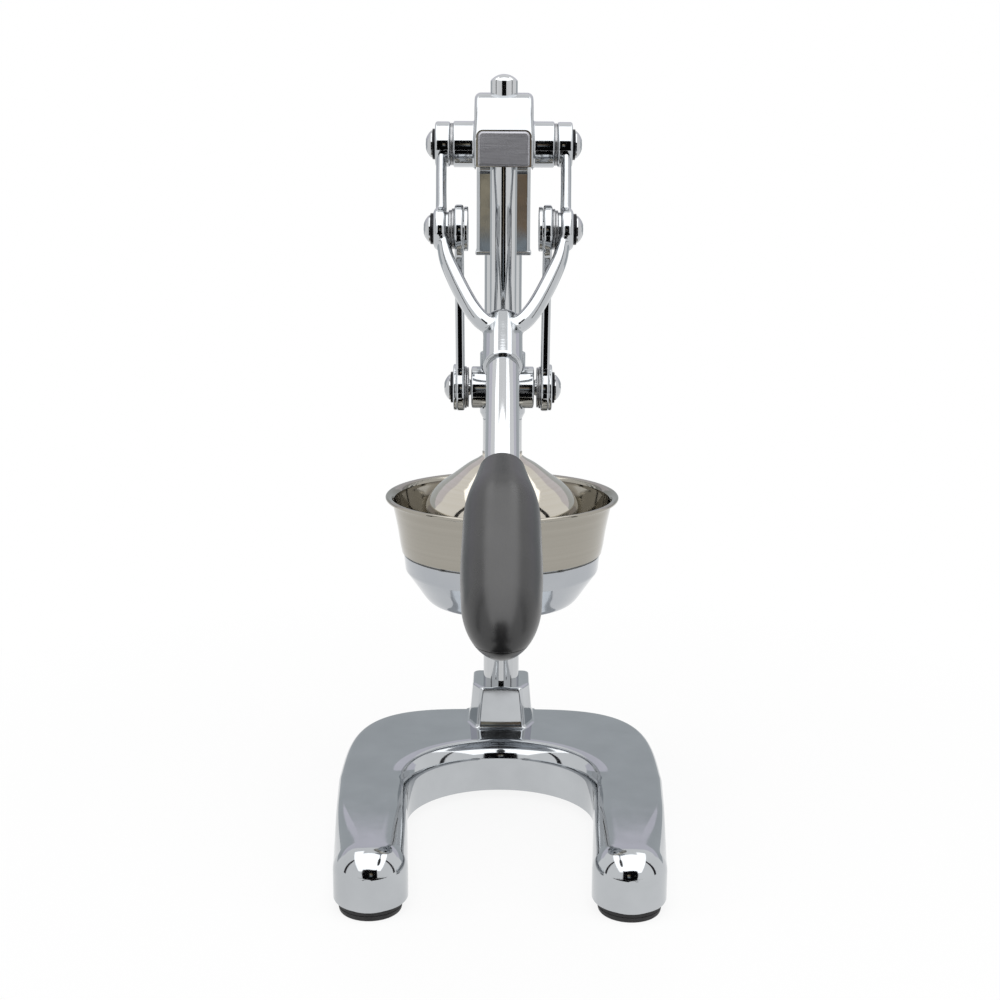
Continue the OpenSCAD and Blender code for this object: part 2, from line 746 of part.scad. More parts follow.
// Head: side outline of the casting as boxes and round corners, with front edges rounded off
module head_side() {
    nose = nose_reach - hood_lean - hood_round;
    translate([-nose, head_low]) square([head_back + nose - head_round, head_top - head_low]);
    hull() {
        translate([-nose, head_top - hood_round]) circle(r = hood_round);
        translate([-nose_reach, head_low]) square([hood_round, nose_face]);
    }
    translate([head_back - head_round, head_top - head_round]) circle(r = head_round);
    translate([skirt_front, skirt_low])
        square([head_back - skirt_front, head_top - head_round - skirt_low]);
    difference() {
        translate([skirt_front - skirt_fillet, head_low - skirt_fillet])
            square([skirt_fillet, skirt_fillet + over]);
        translate([skirt_front - skirt_fillet, head_low - skirt_fillet]) circle(r = skirt_fillet);
    }
}

module head_front() {
    half = head_w / 2;
    translate([-half, skirt_low - over]) square([head_w, head_top - head_edge - skirt_low + over]);
    translate([-half + head_edge, head_top - head_edge - over])
        square([head_w - 2 * head_edge, head_edge + over]);
    for (side = [-1, 1]) translate([side * (half - head_edge), head_top - head_edge])
        circle(r = head_edge);
}

module head_casting() {
    color([0.8, 0.81, 0.83]) placed() difference() {
        union() {
            intersection() {
                rotate([90, 0, 90]) translate([0, 0, -head_w]) linear_extrude(height = 2 * head_w)
                    head_side();
                translate([0, head_back + over, 0]) rotate([90, 0, 0])
                    linear_extrude(height = head_back + nose_reach + 2 * over) head_front();
            }
            translate([-head_w / 2 - lip_out, skirt_front - lip_out, skirt_low])
                cube([head_w + 2 * lip_out, head_back - skirt_front + 2 * lip_out, lip_h]);
            for (side = [-1, 1]) pivot_disc(side, 0, pivot_z, rod_d / 2 + bush_wall, boss_x, boss_d / 2);
        }
        // Pocket for the front plate
        translate([-plate_w / 2 - pocket_gap, -nose_reach - over, head_low - over])
            cube([plate_w + 2 * pocket_gap, plate_t - plate_proud + over, plate_h + pocket_gap + over]);
        // Guide bore with the bush's seat below it
        cylinder(h = 2 * head_top, r = rod_d / 2 + guide_gap);
        translate([0, 0, head_low - over])
            cylinder(h = bush_len + over, r = rod_d / 2 + bush_wall + fixed_gap);
        // Blind socket for the column
        translate([0, column_back, skirt_low - over])
            cylinder(h = column_top - skirt_low + over, r = column_d / 2 + fixed_gap);
        for (side = [-1, 1]) pivot_disc(side, 0, pivot_z, pin_end, boss_x + over, pivot_d / 2 + fixed_gap);
        for (z = head_screw_heights()) translate([0, column_back, z]) rotate([-90, 0, 0])
            cylinder(h = head_w, r = grub_d / 2);
    }
}

function head_screw_heights() = [skirt_low + skirt_drop / 4, pivot_z - skirt_drop / 4];

module head_set_screws() {
    color([0.45, 0.45, 0.47]) placed() for (z = head_screw_heights())
        translate([0, column_back + column_d / 2 + fixed_gap, z]) rotate([-90, 0, 0])
            grub_screw(head_back - column_back - column_d / 2 - fixed_gap);
}

// Front plate: a bare cushion-edged plate in the nose's pocket
module front_plate() {
    color([0.56, 0.56, 0.58]) placed() translate([0, -nose_reach + plate_t - plate_proud, head_low])
        rotate([90, 0, 0]) {
            linear_extrude(height = plate_t - plate_edge)
                translate([-plate_w / 2, 0]) square([plate_w, plate_h]);
            loft([for (k = [0:corner_steps])
                let (a = 90 * k / corner_steps, in = plate_edge * (1 - cos(a)), up = plate_edge * sin(a))
                [for (p = [[-1, 0], [1, 0], [1, 1], [-1, 1]])
                    [p[0] * (plate_w / 2 - in), in + p[1] * (plate_h - 2 * in), plate_t - plate_edge + up]]]);
        }
}

module guide_bush() {
    color([0.7, 0.55, 0.3]) placed() translate([0, 0, head_low])
        ring(rod_d / 2 + bush_wall, rod_d / 2 + run_gap, bush_len);
}

module pivot_screw(side, forward, height, seat, end) {
    along_pivot(side, forward, height) translate([0, 0, seat]) dome_screw(seat - end);
}

module top_screw(side) {
    color([0.75, 0.75, 0.76]) placed() pivot_screw(side, 0, pivot_z, dome_seat, pin_end);
}

module top_screw_left() { top_screw(-1); }
module top_screw_right() { top_screw(1); }

module top_thrust_washers() {
    color([0.62, 0.62, 0.64]) placed() for (side = [-1, 1])
        pivot_ring(side, 0, pivot_z, boss_x, fork_in - face_gap, thrust_d / 2, pivot_d / 2 + run_gap);
}

module top_cap_washers() {
    color([0.2, 0.2, 0.21]) placed() for (side = [-1, 1])
        pivot_ring(side, 0, pivot_z, fork_out + face_gap, dome_seat - face_gap, cap_washer_d / 2,
            pivot_d / 2 + run_gap);
}

// Fork: the arms lie in the plane of the pivots. Each has a distance from the middle, a distance
// along the plane, a half thickness and a half width, as shares of the sizes that they follow.
arm_inset = 3.4;
arm_mid = fork_out - arm_inset;
entry_r = norm([lever_reach, lever_drop]);
arm_shares = [[1, 0.07, 1, 1], [1, 0.15, 1, 1], [0.99, 0.3, 1, 1], [0.976, 0.45, 1.15, 1],
    [0.885, 0.6, 1.43, 1], [0.758, 0.692, 1.57, 1], [0.606, 0.785, 1.61, 1], [0.464, 0.858, 1.61, 0.95],
    [0.303, 0.914, 1.6, 0.85], [0.091, 0.957, 1.5, 0.62]];
arm_path = smooth_curve([for (s = arm_shares)
    [s[0] * arm_mid, s[1] * entry_r, s[2] * arm_t / 2, s[3] * arm_w / 2]], fork_steps);
function arm_ring(i, side) =
    let (p = arm_path[i],
        q = at(arm_path, i + 1) - at(arm_path, i - 1),
        t = [q[0], q[1]] / norm([q[0], q[1]]))
    [for (k = [0:arm_sides - 1])
        let (a = 360 * k / arm_sides,
            u = p[2] * sign(cos(a)) * pow(abs(cos(a)), 2 / arm_power),
            v = p[3] * sign(sin(a)) * pow(abs(sin(a)), 2 / arm_power))
        [side * (p[0] + t[1] * u), p[1] - t[0] * u, -side * v]];

module in_lever_plane() {
    translate([0, 0, pivot_z]) rotate([180 + crank_angle, 0, 0]) children();
}

module along_lever() {
    translate([0, -lever_reach, pivot_z - lever_drop]) rotate([90 + lever_slope, 0, 0]) children();
}

module lever_fork() {
    color([0.76, 0.78, 0.8]) placed() difference() {
        union() {
            in_lever_plane() for (side = [-1, 1])
                loft([for (i = [0:len(arm_path) - 1]) arm_ring(i, side)]);
            for (side = [-1, 1]) {
                pivot_disc(side, 0, pivot_z, fork_in, fork_out, eye_d / 2);
                pivot_disc(side, crank_f, crank_z, fork_in, fork_out, elbow_d / 2);
            }
            along_lever() translate([0, 0, socket_edge - socket_back])
                cylinder(h = socket_len + socket_back - socket_edge, r = socket_d / 2);
            along_lever() translate([0, 0, -socket_back])
                cylinder(h = socket_edge, r1 = socket_d / 2 - socket_edge, r2 = socket_d / 2);
        }
        along_lever() translate([0, 0, -tube_back])
            cylinder(h = socket_len + tube_back + over, r = tube_d / 2 + fixed_gap);
        along_lever() translate([0, 0, socket_len / 2]) rotate([90, 0, 0])
            cylinder(h = socket_d, r = lever_grub_d / 2);
        for (side = [-1, 1]) {
            pivot_disc(side, 0, pivot_z, fork_in - over, fork_out + over, pivot_d / 2 + run_gap);
            pivot_disc(side, crank_f, crank_z, fork_in - over, fork_out + over, pivot_d / 2 + fixed_gap);
            // Spot face on the inner side of the elbow, for the spacer
            pivot_disc(side, crank_f, crank_z, link_in, fork_in, elbow_d / 2 + side_gap);
        }
    }
}

lever_grub_d = 4;
tube_short = 20;
tube_end = grip_start + grip_len - tube_short;

module lever_tube() {
    color([0.84, 0.85, 0.86]) placed() along_lever() translate([0, 0, -tube_back])
        ring(tube_d / 2, tube_d / 2 - tube_wall, tube_end + tube_back);
}

module lever_set_screw() {
    color([0.45, 0.45, 0.47]) placed() along_lever()
        translate([0, -tube_d / 2 - fixed_gap, socket_len / 2]) rotate([90, 0, 0])
            grub_screw((socket_d - tube_d) / 2, lever_grub_d);
}

// Grip: turned outline as shares of its length and of its largest radius. A level cut parts the end
// cap from it, and meets the lever's axis at a share of the grip's length.
grip_shares = [[0, 0.52], [0.008, 0.58], [0.031, 0.615], [0.105, 0.737], [0.19, 0.88], [0.275, 0.957],
    [0.445, 0.99], [0.616, 1], [0.785, 0.936], [0.88, 0.835], [0.935, 0.735], [0.97, 0.605],
    [0.992, 0.37], [1, 0]];
seam_share = 0.985;
grip_outline = smooth_curve([for (s = grip_shares) [s[1] * grip_d / 2, grip_start + s[0] * grip_len]],
    grip_steps);
seam_z = pivot_z - lever_drop - (grip_start + seam_share * grip_len) * sin(lever_slope);

module grip_shape() {
    rotate_extrude() polygon(concat([[0, grip_start]], grip_outline));
}

// The room below the level cut, under the grip's end
module below_seam(gap) {
    translate([-grip_d, -front_reach - over, seam_z - gap - grip_d]) cube([2 * grip_d, 2 * grip_d, grip_d]);
}

module grip() {
    color([0.27, 0.27, 0.28]) placed() difference() {
        along_lever() grip_shape();
        below_seam(0);
        along_lever() translate([0, 0, grip_start - over])
            cylinder(h = tube_end - grip_start + over + grip_wall_gap, r = tube_d / 2 + grip_wall_gap);
    }
}

module grip_end_cap() {
    color([0.24, 0.24, 0.25]) placed() intersection() {
        along_lever() grip_shape();
        below_seam(cap_gap);
    }
}

module middle_screw(side) {
    color([0.75, 0.75, 0.76]) placed() pivot_screw(side, crank_f, crank_z, dome_seat, nut_out - nut_t);
}

module middle_screw_left() { middle_screw(-1); }
module middle_screw_right() { middle_screw(1); }

module middle_cap_washers() {
    color([0.2, 0.2, 0.21]) placed() for (side = [-1, 1])
        pivot_ring(side, crank_f, crank_z, fork_out, dome_seat, cap_washer_d / 2, pivot_d / 2 + fixed_gap);
}

module middle_spacers() {
    color([0.62, 0.62, 0.64]) placed() for (side = [-1, 1])
        pivot_ring(side, crank_f, crank_z, link_top_out + 2 * face_gap, fork_in, mid_washer_d / 2,
            pivot_d / 2 + fixed_gap);
}

module middle_nut(side) {
    color([0.78, 0.79, 0.8]) placed()
        pivot_ring(side, crank_f, crank_z, nut_out - nut_t, nut_out, nut_d / 2, pivot_d / 2 + fixed_gap);
}

module middle_nut_left() { middle_nut(-1); }
module middle_nut_right() { middle_nut(1); }

// Link: bar between two eyes, the lower eye thicker than the bar
link_lean = asin(crank_f / link_len);

module right_link() {
    difference() {
        union() {
            pivot_disc(1, crank_f, crank_z, link_in, link_top_out, link_top_d / 2);
            pivot_disc(1, 0, cross_z, link_in, link_low_out, link_low_d / 2);
            translate([link_in, 0, cross_z]) rotate([link_lean, 0, 0])
                translate([0, -link_w / 2, 0]) cube([link_t, link_w, link_len]);
        }
        pivot_disc(1, crank_f, crank_z, 0, boss_x * 2, pivot_d / 2 + run_gap);
        pivot_disc(1, 0, cross_z, 0, boss_x * 2, pivot_d / 2 + fixed_gap);
        // The bar is relieved beside the upper eye, which is as thin as the eye
        pivot_disc(1, crank_f, crank_z, link_top_out, link_low_out + over, link_top_d / 2 + side_gap);
    }
}

module link(side) {
    color([0.77, 0.79, 0.81]) placed() mirror([side < 0 ? 1 : 0, 0, 0]) right_link();
}

module link_left() { link(-1); }
module link_right() { link(1); }

module bottom_screw(side) {
    color([0.75, 0.75, 0.76]) placed()
        pivot_screw(side, 0, cross_z, link_low_out + cap_washer_t, low_pin_end);
}

module bottom_screw_left() { bottom_screw(-1); }
module bottom_screw_right() { bottom_screw(1); }

module bottom_washers(side) {
    pitch = low_washer_t + low_washer_gap;
    color([0.66, 0.66, 0.68]) placed() for (k = [0, 1])
        pivot_ring(side, 0, cross_z, link_in - k * pitch - low_washer_t, link_in - k * pitch,
            low_washer_d / 2 - k * low_washer_t / 2, pivot_d / 2 + fixed_gap);
}

module bottom_washers_left() { bottom_washers(-1); }
module bottom_washers_right() { bottom_washers(1); }

module bottom_cap_washer(side) {
    color([0.2, 0.2, 0.21]) placed() pivot_ring(side, 0, cross_z, link_low_out, link_low_out + cap_washer_t,
        low_cap_d / 2, pivot_d / 2 + fixed_gap);
}

module bottom_cap_washer_left() { bottom_cap_washer(-1); }
module bottom_cap_washer_right() { bottom_cap_washer(1); }

// Crosshead: collar on the rod with a boss on each side
module crosshead() {
    low = cross_z - collar_down;
    high = cross_z + collar_up;
    color([0.78, 0.79, 0.81]) placed() difference() {
        union() {
            rotate_extrude() polygon([[0, low], [collar_d / 2 - collar_edge, low],
                [collar_d / 2, low + 2 * collar_edge], [collar_d / 2, high - collar_edge / 2],
                [collar_d / 2 - collar_edge / 2, high], [0, high]]);
            for (side = [-1, 1]) pivot_disc(side, 0, cross_z, 0, cross_boss_x, cross_boss_d / 2);
        }
        cylinder(h = 2 * high, r = rod_d / 2 + fixed_gap);
        translate([0, 0, cross_z]) rotate([-90, 0, 0]) cylinder(h = collar_d, r = grub_d / 2);
    }
}

module crosshead_set_screw() {
    color([0.45, 0.45, 0.47]) placed() translate([0, rod_d / 2 + fixed_gap, cross_z]) rotate([-90, 0, 0])
        grub_screw((collar_d - rod_d) / 2 - fixed_gap);
}

bell_nut_top = stem_foot - neck_len;
rod_low = bell_nut_top - bell_nut_h - rod_tail;

module plunger_rod() {
    dome_z = pivot_z + rod_over - rod_dome;
    ball = (rod_d * rod_d / 4 + rod_dome * rod_dome) / (2 * rod_dome);
    color([0.85, 0.86, 0.87]) placed() {
        translate([0, 0, rod_low]) cylinder(h = dome_z - rod_low, r = rod_d / 2);
        translate([0, 0, dome_z]) intersection() {
            cylinder(h = rod_dome, r = rod_d / 2);
            translate([0, 0, rod_dome - ball]) sphere(r = ball);
        }
    }
}

module bell_stem() {
    color([0.8, 0.81, 0.82]) placed() translate([0, 0, stem_foot])
        ring(stem_d / 2, rod_d / 2 + fixed_gap, cross_z - collar_down - stem_foot);
}

// Bell: hollow flare and domed shoulder, as shares of the way from neck to rim and of its height
bell_shares = [[0, 0.955], [0.089, 0.918], [0.257, 0.86], [0.517, 0.745], [0.719, 0.658],
    [0.872, 0.56], [0.963, 0.451], [0.991, 0.303], [1, 0.12], [1, 0]];
bell_curve = smooth_curve([for (s = bell_shares)
    [neck_d / 2 + s[0] * (bell_d - neck_d) / 2, bell_rim_z + s[1] * bell_h]], bell_steps);
bell_inner = [for (i = [0:len(bell_curve) - 1])
    let (p = bell_curve[i],
        q = at(bell_curve, i + 1) - at(bell_curve, i - 1),
        n = [q[1], -q[0]] / norm(q))
    if (p[0] > neck_d) [p[0] + n[0] * bell_t, i == len(bell_curve) - 1 ? p[1] : p[1] + n[1] * bell_t]];

module press_bell() {
    color([0.78, 0.76, 0.72]) placed() rotate_extrude() polygon(concat(
        [[rod_d / 2 + fixed_gap, stem_foot], [neck_d / 2, stem_foot]],
        bell_curve,
        [for (i = [len(bell_inner) - 1:-1:0]) bell_inner[i]],
        [[neck_d / 2 + bell_t, bell_nut_top], [rod_d / 2 + fixed_gap, bell_nut_top]]));
}

module bell_nut() {
    color([0.6, 0.6, 0.62]) placed() translate([0, 0, bell_nut_top - bell_nut_h]) difference() {
        cylinder(h = bell_nut_h, r = bell_nut_af / 2 / cos(30), $fn = 6);
        translate([0, 0, -over]) cylinder(h = bell_nut_h + 2 * over, r = rod_d / 2 + fixed_gap);
    }
}

// The press is centred between the handle's front and the base's back
function tip(p) = lever_reach + p[1] * cos(lever_slope) + p[0] * sin(lever_slope);
front_reach = max([for (p = grip_outline) tip(p)]);
back_reach = max(base_back, head_back + lip_out);
axis_y = (front_reach - back_reach) / 2;

base_casting();
foot_pad_front_left();
foot_pad_front_right();
foot_pad_rear_left();
foot_pad_rear_right();
foot_screws();
column_tube();
column_plug();
column_washer();
column_bolt();
bowl_casting();
bowl_set_screw();
strainer_bowl();
reamer_cone();
head_casting();
front_plate();
head_set_screws();
guide_bush();
top_screw_left();
top_screw_right();
top_thrust_washers();
top_cap_washers();
lever_fork();
lever_tube();
lever_set_screw();
grip();
grip_end_cap();
middle_screw_left();
middle_screw_right();
middle_cap_washers();
middle_spacers();
middle_nut_left();
middle_nut_right();
link_left();
link_right();
bottom_screw_left();
bottom_screw_right();
bottom_washers_left();
bottom_washers_right();
bottom_cap_washer_left();
bottom_cap_washer_right();
crosshead();
crosshead_set_screw();
plunger_rod();
bell_stem();
press_bell();
bell_nut();
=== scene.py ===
# %% [markdown]
# # A lever citrus press in chrome
# The press is a cast horseshoe base with a column, a head that reaches forward over a bowl, and a
# forked lever that drives a bell down into a strainer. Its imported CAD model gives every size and
# place. This script gives the looks: each visible piece is modelled again with smooth, rounded
# faces, because polished chrome shows every flat facet.

# %% Load the frame
import json
import math

import bmesh
import bpy
from mathutils import Euler, Matrix, Vector


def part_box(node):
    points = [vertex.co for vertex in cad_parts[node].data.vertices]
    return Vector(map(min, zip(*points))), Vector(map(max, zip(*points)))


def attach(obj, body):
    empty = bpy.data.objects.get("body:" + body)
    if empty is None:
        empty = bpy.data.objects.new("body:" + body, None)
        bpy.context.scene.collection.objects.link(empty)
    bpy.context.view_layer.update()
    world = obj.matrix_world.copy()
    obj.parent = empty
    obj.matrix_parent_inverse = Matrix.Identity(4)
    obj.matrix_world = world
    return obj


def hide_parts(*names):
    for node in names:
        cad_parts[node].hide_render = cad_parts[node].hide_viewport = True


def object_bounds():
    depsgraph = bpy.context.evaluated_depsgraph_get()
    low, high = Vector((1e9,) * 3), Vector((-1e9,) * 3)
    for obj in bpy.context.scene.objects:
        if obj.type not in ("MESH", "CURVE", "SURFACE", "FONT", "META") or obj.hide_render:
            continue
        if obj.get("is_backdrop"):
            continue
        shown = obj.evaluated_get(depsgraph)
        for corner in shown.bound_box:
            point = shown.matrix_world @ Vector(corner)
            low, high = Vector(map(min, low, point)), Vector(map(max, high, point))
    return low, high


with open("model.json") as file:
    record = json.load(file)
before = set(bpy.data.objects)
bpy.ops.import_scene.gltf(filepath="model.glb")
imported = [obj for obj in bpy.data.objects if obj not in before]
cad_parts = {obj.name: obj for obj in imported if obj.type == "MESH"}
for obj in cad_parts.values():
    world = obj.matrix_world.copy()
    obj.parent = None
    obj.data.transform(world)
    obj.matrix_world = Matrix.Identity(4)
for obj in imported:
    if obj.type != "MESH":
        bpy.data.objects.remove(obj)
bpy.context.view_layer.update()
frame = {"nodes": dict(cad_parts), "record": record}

MM = 0.001

# %% [markdown]
# ## Where things are
# Places are written as on the drawing: sideways from the middle, forward of the plunger's axis and
# up from the table, in millimetres. The frame's boxes give the plunger's axis and the heights.

# %% Places from the frame
def node_box(node):
    """A node's lowest and highest corners, with y turned into millimetres forward of the plunger's axis."""
    low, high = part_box(node)
    return (Vector((low.x / MM, (AXIS_Y - high.y) / MM, low.z / MM)),
            Vector((high.x / MM, (AXIS_Y - low.y) / MM, high.z / MM)))


def at(side, forward, height):
    """A place in metres."""
    return Vector((side * MM, AXIS_Y - forward * MM, height * MM))


rod_low, rod_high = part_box("plunger_rod")
AXIS_Y = (rod_low.y + rod_high.y) / 2
top_screw_low, top_screw_high = node_box("top_screw_right")
middle_screw_low, middle_screw_high = node_box("middle_screw_right")
bottom_screw_low, bottom_screw_high = node_box("bottom_screw_right")
PIVOT_Z = (top_screw_low.z + top_screw_high.z) / 2
CRANK_Z = (middle_screw_low.z + middle_screw_high.z) / 2
CRANK_F = (middle_screw_low.y + middle_screw_high.y) / 2
CROSS_Z = (bottom_screw_low.z + bottom_screw_high.z) / 2
column_low, column_high = node_box("column_tube")
COLUMN_F = (column_low.y + column_high.y) / 2
print("pivot %.1f, crank %.1f at %.1f forward, crosshead %.1f, column %.1f"
      % (PIVOT_Z, CRANK_Z, CRANK_F, CROSS_Z, COLUMN_F))

# %% [markdown]
# ## Camera
# The photograph was taken from in front, a little above the press, at about an arm's length. Its
# vanishing lines give the lens, the height and the tilt. It was held a third of a degree off level.

# %% Camera
CAMERA_AHEAD = 842
CAMERA_HEIGHT = 373.5
CAMERA_TILT = 12.2
CAMERA_ROLL = 0.3
LENS = 55.44
SENSOR = 36
SHIFT_X = -0.002

bpy.ops.object.select_all(action="DESELECT")
aimed = Euler((math.radians(90 - CAMERA_TILT), 0, 0)).to_matrix()
held = aimed @ Matrix.Rotation(math.radians(CAMERA_ROLL), 3, "Z")
bpy.ops.object.camera_add(location=at(0, CAMERA_AHEAD, CAMERA_HEIGHT), rotation=held.to_euler())
camera = bpy.context.object
camera.data.sensor_width = SENSOR
camera.data.lens = LENS
camera.data.shift_x = SHIFT_X
camera.data.clip_start = 0.05
camera.data.clip_end = 50
bpy.context.scene.camera = camera
bpy.context.scene.view_settings.view_transform = "Standard"
print("camera", [round(c, 3) for c in camera.location])

# %% [markdown]
# ## Helpers for nodes and colours
# Colours are written as sRGB hex values, the way a colour picker shows them, and turned to linear
# values. One function adds a shader node with its settings and its links.

# %% Colour and node helpers
def linear(hex_colour):
    """An sRGB hex value as linear red, green, blue and alpha."""
    channels = [int(hex_colour[i:i + 2], 16) / 255 for i in (1, 3, 5)]
    return [c / 12.92 if c <= 0.04045 else ((c + 0.055) / 1.055) ** 2.4 for c in channels] + [1]


def add_node(tree, kind, inputs=None, **settings):
    """A node with its settings. An input that is a socket is linked, and any other is set."""
    node = tree.nodes.new(kind)
    for name, value in settings.items():
        setattr(node, name, value)
    for name, value in (inputs or {}).items():
        if isinstance(value, bpy.types.NodeSocket):
            tree.links.new(value, node.inputs[name])
        else:
            node.inputs[name].default_value = value
    return node


def shown_to_eye(tree):
    """1 for rays that show a background: from the camera, and through gloss and glass."""
    path = add_node(tree, "ShaderNodeLightPath")
    two = add_node(tree, "ShaderNodeMath", {0: path.outputs["Is Camera Ray"],
                                            1: path.outputs["Is Glossy Ray"]}, operation="MAXIMUM")
    return add_node(tree, "ShaderNodeMath", {0: two.outputs[0], 1: path.outputs["Is Transmission Ray"]},
                    operation="MAXIMUM").outputs[0]

# %% [markdown]
# ## Studio
# Chrome has no colour of its own: it shows the room. The photograph's studio is a white sweep with
# a wide soft box in front and overhead, a grey wall behind, and the dark room round the camera,
# which every rounded edge repeats as a small black patch. The sweep's floor fades to plain white
# away from the press and keeps the soft shadow near it. Wall, box and dark room are cards that
# only gloss can see.

# %% World and floor
AMBIENT = 0.55
FLOOR_GLOW = 0.88
FLOOR_SIZE = 6
SHADOW_NEAR, SHADOW_FAR = 0.14, 0.5

world = bpy.data.worlds.new("white_studio")
bpy.context.scene.world = world
world.use_nodes = True
world.node_tree.nodes.clear()
strength = add_node(world.node_tree, "ShaderNodeMapRange", {"Value": shown_to_eye(world.node_tree),
                                                            "To Min": AMBIENT, "To Max": 1.0})
sky = add_node(world.node_tree, "ShaderNodeBackground", {"Color": (1, 1, 1, 1),
                                                         "Strength": strength.outputs[0]})
add_node(world.node_tree, "ShaderNodeOutputWorld", {"Surface": sky.outputs[0]})


def empty_material(name):
    """A new material whose node tree is empty, and that tree."""
    material = bpy.data.materials.new(name)
    material.use_nodes = True
    material.node_tree.nodes.clear()
    return material, material.node_tree


def add_floor():
    """White floor: mostly its own white for the eye, with enough real light to keep a shadow."""
    bpy.ops.object.select_all(action="DESELECT")
    bpy.ops.mesh.primitive_plane_add(size=FLOOR_SIZE, location=(0, AXIS_Y, 0))
    floor = bpy.context.object
    floor.name = "floor"
    material, tree = empty_material("white_floor")
    paint = add_node(tree, "ShaderNodeBsdfDiffuse", {"Color": linear("#f2f2f2")})
    glow = add_node(tree, "ShaderNodeEmission", {"Color": (1, 1, 1, 1), "Strength": 1.0})
    place = add_node(tree, "ShaderNodeTexCoord").outputs["Object"]
    away = add_node(tree, "ShaderNodeVectorMath", {0: place}, operation="LENGTH").outputs["Value"]
    fade = add_node(tree, "ShaderNodeMapRange", {
        "Value": away, "From Min": SHADOW_NEAR, "From Max": SHADOW_FAR,
        "To Min": FLOOR_GLOW, "To Max": 1.0})
    share = add_node(tree, "ShaderNodeMath", {0: shown_to_eye(tree), 1: fade.outputs[0]},
                     operation="MULTIPLY")
    mixed = add_node(tree, "ShaderNodeMixShader", {0: share.outputs[0], 1: paint.outputs[0],
                                                   2: glow.outputs[0]})
    add_node(tree, "ShaderNodeOutputMaterial", {"Surface": mixed.outputs[0]})
    floor.data.materials.append(material)
    floor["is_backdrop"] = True


add_floor()
print("floor and world made")

# %% Cards that only gloss sees
def add_card(name, place, width, height, turn, colour, strength):
    """A flat card of even light. Only gloss sees it, so it lights and hides nothing."""
    bpy.ops.object.select_all(action="DESELECT")
    bpy.ops.mesh.primitive_plane_add(size=1, location=place, rotation=[math.radians(a) for a in turn])
    card = bpy.context.object
    card.name = name
    card.scale = (width, height, 1)
    material, tree = empty_material(name + "_light")
    glow = add_node(tree, "ShaderNodeEmission", {"Color": linear(colour), "Strength": strength})
    add_node(tree, "ShaderNodeOutputMaterial", {"Surface": glow.outputs[0]})
    card.data.materials.append(material)
    card.visible_camera = card.visible_diffuse = card.visible_shadow = False
    card.visible_transmission = card.visible_volume_scatter = False
    card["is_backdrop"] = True


# The grey wall is lit in two steps. The dark room stands behind the camera, with a dark floor in
# front of it. The small patches are what the skirt mirrors beside the rod. The dark stand lies
# on the floor ahead of the toes
STANDING, LYING, SIDEWAYS = (90, 0, 0), (0, 0, 0), (90, 0, 90)
DARK = "#0a0a0b"
WALL_BACK, WALL_STEP, WALL_WIDTH, UPPER_HEIGHT = 1500, 754, 5.0, 0.8
DARK_AHEAD, DARK_Z = 1150, 420
DARK_FLOOR_AHEAD, DARK_FLOOR_Z = DARK_AHEAD - 260, 2
PATCH_AHEAD, PATCH_SIDE, PATCH_Z, GREY_Z, PATCH_WIDTH = DARK_AHEAD - 1, 29, 345, 225, 0.042
STAND_AHEAD, STAND_Z = 430, 1
SIDE_AWAY, SIDE_AHEAD, SIDE_Z = 900, 300, 500

add_card("card_back_wall", at(0, -WALL_BACK, WALL_STEP / 2), WALL_WIDTH, WALL_STEP * MM, STANDING,
         "#f5fbff", 0.57)
add_card("card_back_upper", at(0, -WALL_BACK, WALL_STEP + 400), WALL_WIDTH, UPPER_HEIGHT, STANDING,
         "#f7f5ff", 0.83)
add_card("card_dark_room", at(0, DARK_AHEAD, DARK_Z), 0.8, 0.84, STANDING, DARK, 1.0)
add_card("card_dark_floor", at(0, DARK_FLOOR_AHEAD, DARK_FLOOR_Z), 0.9, 0.52, LYING, DARK, 1.0)
for name, side, colour in (("card_tan_patch", -1, "#b3a993"), ("card_brown_patch", 1, "#8d7a66")):
    add_card(name, at(side * PATCH_SIDE, PATCH_AHEAD, PATCH_Z), PATCH_WIDTH, 0.14, STANDING, colour, 1.0)
for side in (-1, 1):
    add_card("card_grey_patch_%d" % side, at(side * PATCH_SIDE, PATCH_AHEAD, GREY_Z), PATCH_WIDTH, 0.1,
             STANDING, "#98a2a9", 1.0)
add_card("card_dark_stand", at(0, STAND_AHEAD, STAND_Z), 0.24, 0.38, LYING, DARK, 1.0)
for side in (-1, 1):
    add_card("card_side_dark_%d" % side, at(side * SIDE_AWAY, SIDE_AHEAD, SIDE_Z), 0.12, 1.6, SIDEWAYS,
             "#2c2c2e", 1.0)

# %% Soft box
# The soft box leans over the press from in front, at eye height, to above the head, far up. Two
# wings carry it on behind the head, one on each side. Its edges are (forward, height)
BOX_WIDTH, WING_WIDTH, WING_SIDE, BOX_LIGHT = 1.6, 0.45, 575, 2.2
BOX_FRONT, BOX_REAR, WING_REAR = (1300, 700), (-250, 1320), (-700, 1500)


def add_box_panel(name, side, front, rear, width):
    """A panel of the soft box from a front edge to a rear edge."""
    front, rear = at(side, *front), at(side, *rear)
    lean = math.degrees(math.atan2(rear.z - front.z, rear.y - front.y))
    add_card(name, (front + rear) / 2, width, (rear - front).length, (lean, 0, 0), "#ffffff",
             BOX_LIGHT)


add_box_panel("card_soft_box", 0, BOX_FRONT, BOX_REAR, BOX_WIDTH)
for side in (-1, 1):
    add_box_panel("card_soft_wing_%d" % side, side * WING_SIDE, BOX_REAR, WING_REAR, WING_WIDTH)

